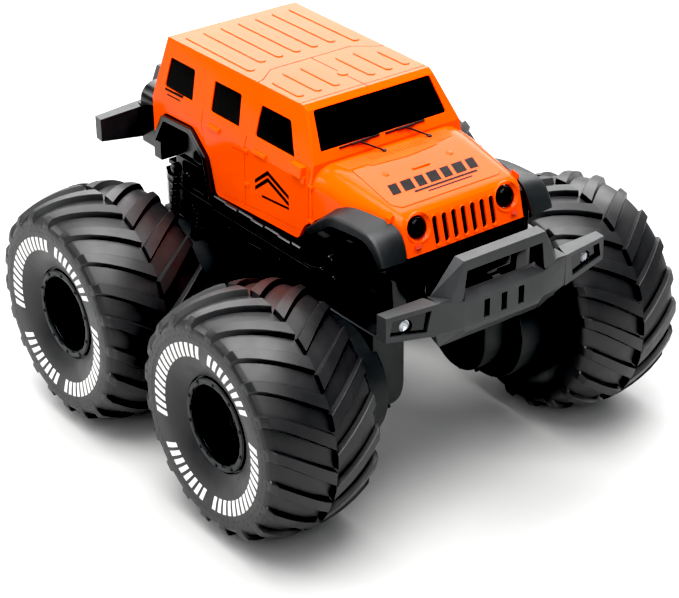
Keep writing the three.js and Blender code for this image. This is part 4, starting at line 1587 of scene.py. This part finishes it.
fog = {
    "x": 53.5, "y": -120.8, "z": 114.1, "radius": 3.1, "lean": 0.17,
    "bowl": [(-1.4, 0), (-1.4, 3.0), (1.3, 3.0), (1.3, 2.7), (0, 1.2), (0, 0)],
    "lens": [(0.9, 0), (0.9, 2.8), (1.6, 2.75), (2.3, 1.9), (2.6, 0.9), (2.65, 0)],
    "facets": {"bowl": 12, "lens": 10},
}


def bumperSolids():
    solids = [hullOf(mirrored(bumper[part])) for part in ("plate", "hoop")]
    return solids + [
        hullOf(onSide(side, bumper[part])) for side in (1, -1) for part in ("wing", "knee", "leg")]


def makeBumper(hasLamps):
    tools = []
    for step in (-1, 0, 1):
        x, half = step * bumper["slotPitch"], bumper["slotHalf"]
        tools.append(box((x - half, x + half), (-130, -125.2), bumper["slotZ"]))
    for side in (1, -1):
        tools.append(hullOf(onSide(side, lampPocket + [(x, -130, z) for x, y, z in lampPocket])))
        if hasLamps:
            tools.append(lampHole(side))
    return softened(cut(union(*bumperSolids()), *tools), bumper["edge"], 2, 25)


def lampHole(side):
    # a blind hole from the front, as deep as the lamp's bowl
    radius = fog["radius"] + 0.3
    rod = turned([(-5, 0), (-5, radius), (3.3, radius), (3.3, 0)], 24)
    return placed(rod, side * fog["x"], fog["y"] - 2, fog["z"], turnZ=math.pi / 2)


def makePocketLiner(side):
    # a dark plate on the floor of the lamp's pocket
    x, y, z = (sum(point[i] for point in lampPocket) / len(lampPocket) for i in range(3))
    outline = [(mix(x, px, 0.95), mix(y, py, 0.95), mix(z, pz, 0.95)) for px, py, pz in lampPocket]
    plate = hullOf(onSide(side, [(px, py + d, pz) for px, py, pz in outline for d in (0.3, -0.3)]))
    return cut(plate, lampHole(side))


def makeFogLamp(side, part):
    bm = turned(fog[part], fog["facets"][part])
    return placed(bm, side * fog["x"], fog["y"], fog["z"], turnZ=-math.pi / 2 + side * fog["lean"])


arms = [softBox(spanOn(side, *bumper["arm"]), (-119.5, -99.5), (97, 105), 0.4) for side in (1, -1)]
addPiece("bumper_moulding_front", gathered(makeBumper(True), *arms), bumperNylon,
         standsFor=["front_bumper"])
rearBumper = placed(makeBumper(False), 0, bumper["rearShift"], bumper["rearRise"], turnZ=math.pi)
addPiece("bumper_moulding_rear", rearBumper, bumperNylon, standsFor=["rear_bumper"])
for word, side in (("right", -1), ("left", 1)):
    addPiece(f"fog_liner_{word}", makePocketLiner(side), glossBlackAbs)
    addPiece(f"fog_bowl_{word}", makeFogLamp(side, "bowl"), mirrorBowl, sharp=10)
    addPiece(f"fog_lens_{word}", makeFogLamp(side, "lens"), clearLens,
             standsFor=[f"bumper_lens_{word}"], sharp=10)
print("bumpers made")


# CAD pieces that stay as they are, each with its finish

carried = {
    "motor": drawnSteel, "pinion": naturalNylon, "drive_gear": naturalNylon,
    "battery_pack": batteryWrap, "circuit_board": solderMask, "hull_seal": sealRubber,
    "hull_deck": glossBlackAbs, "hull_lower": glossBlackAbs,
    "window_insert": windowBlack, "grille_insert": glossBlackAbs,
}
for name, node in frame["nodes"].items():
    if node.hide_render:
        continue
    family = next(key for key in carried if name.startswith(key))
    node.data.materials.clear()
    node.data.materials.append(carried[family])
print("carried-over pieces finished")


# Studio

studio = {"floorHalf": 6, "floor": "#b8b8b7", "world": "#e9ecf0", "worldStrength": 0.33, "blackLevel": 0.018}


def makeFloor():
    bm = bmesh.new()
    size = studio["floorHalf"]
    for x, y in ((-size, -size), (size, -size), (size, size), (-size, size)):
        bm.verts.new((x, y, -0.0002))
    bm.faces.new(bm.verts[:])
    mesh = bpy.data.meshes.new("floor")
    bm.to_mesh(mesh)
    bm.free()
    material, tree, output, place = newMaterial("paperSweep")
    fibre = addNode(tree, "ShaderNodeTexNoise", inputs={"Scale": perMetre(30), "Detail": 3}, links={
        "Vector": (place, "Object")})
    gloss = addNode(tree, "ShaderNodeMapRange", inputs={"To Min": 0.75, "To Max": 0.85}, links={
        "Value": (fibre, "Fac")})
    shader = addNode(tree, "ShaderNodeBsdfPrincipled", inputs={
        "Base Color": toLinear(studio["floor"])}, links={"Roughness": (gloss, "Result")})
    tree.links.new(shader.outputs["BSDF"], output.inputs["Surface"])
    mesh.materials.append(material)
    floor = bpy.data.objects.new("floor", mesh)
    scene.collection.objects.link(floor)


lights = {
    # place and aim in metres, size of the panel, and how bright it looks against white paper
    "overhead": {"at": (-0.15, -0.1, 1.3), "aim": (0, 0, 0.1), "size": (1.1, 1.1), "glow": 10.5},
    "behind": {"at": (0.8, 1.07, 1.05), "aim": (0, 0, 0.1), "size": (2.3, 1.3), "glow": 5},
    "front": {"at": (-1.1, -0.95, 1.4), "aim": (0, 0, 0.1), "size": (2.0, 1.3), "glow": 2.6},
    "edge": {"at": (-1.1, 1.3, 0.95), "aim": (0, 0, 0.1), "size": (0.5, 0.9), "glow": 8},
}


def addLight(name, look):
    data = bpy.data.lights.new(name, "AREA")
    data.shape = "RECTANGLE"
    data.size, data.size_y = look["size"]
    data.energy = look["glow"] * math.pi * data.size * data.size_y
    light = bpy.data.objects.new(name, data)
    light.location = look["at"]
    away = Vector(look["aim"]) - Vector(look["at"])
    light.rotation_euler = away.to_track_quat("-Z", "Y").to_euler()
    scene.collection.objects.link(light)


def makeWorld():
    world = bpy.data.worlds.new("studio")
    scene.world = world
    world.use_nodes = True
    background = world.node_tree.nodes["Background"]
    background.inputs["Color"].default_value = toLinear(studio["world"])
    background.inputs["Strength"].default_value = studio["worldStrength"]


view = {
    "lens": 110.65, "azimuth": -36.89, "elevation": 28.53, "roll": -0.61,
    "at": (-0.5553, -0.7441, 0.5620),   # metres, y from the middle of the wheelbase
}


def makeCamera():
    azimuth, elevation, roll = (math.radians(view[k]) for k in ("azimuth", "elevation", "roll"))
    back = Vector((math.sin(azimuth) * math.cos(elevation), -math.cos(azimuth) * math.cos(elevation),
                   math.sin(elevation)))
    right = Vector((math.cos(azimuth), math.sin(azimuth), 0))
    up = back.cross(right)
    tilted = right * math.cos(roll) + up * math.sin(roll)
    upright = up * math.cos(roll) - right * math.sin(roll)
    turn = Matrix((tilted, upright, back)).transposed()
    data = bpy.data.cameras.new("camera")
    data.lens = view["lens"]
    camera = bpy.data.objects.new("camera", data)
    place = Vector(view["at"]) + Vector((0, midY / 1000, 0))
    camera.matrix_world = Matrix.Translation(place) @ turn.to_4x4()
    scene.collection.objects.link(camera)
    scene.camera = camera


makeFloor()
makeWorld()
for name, look in lights.items():
    addLight(name, look)
makeCamera()
scene.view_settings.view_transform = "Standard"
scene.view_settings.use_curve_mapping = True
scene.view_settings.curve_mapping.black_level = [studio["blackLevel"]] * 3
print("studio made")
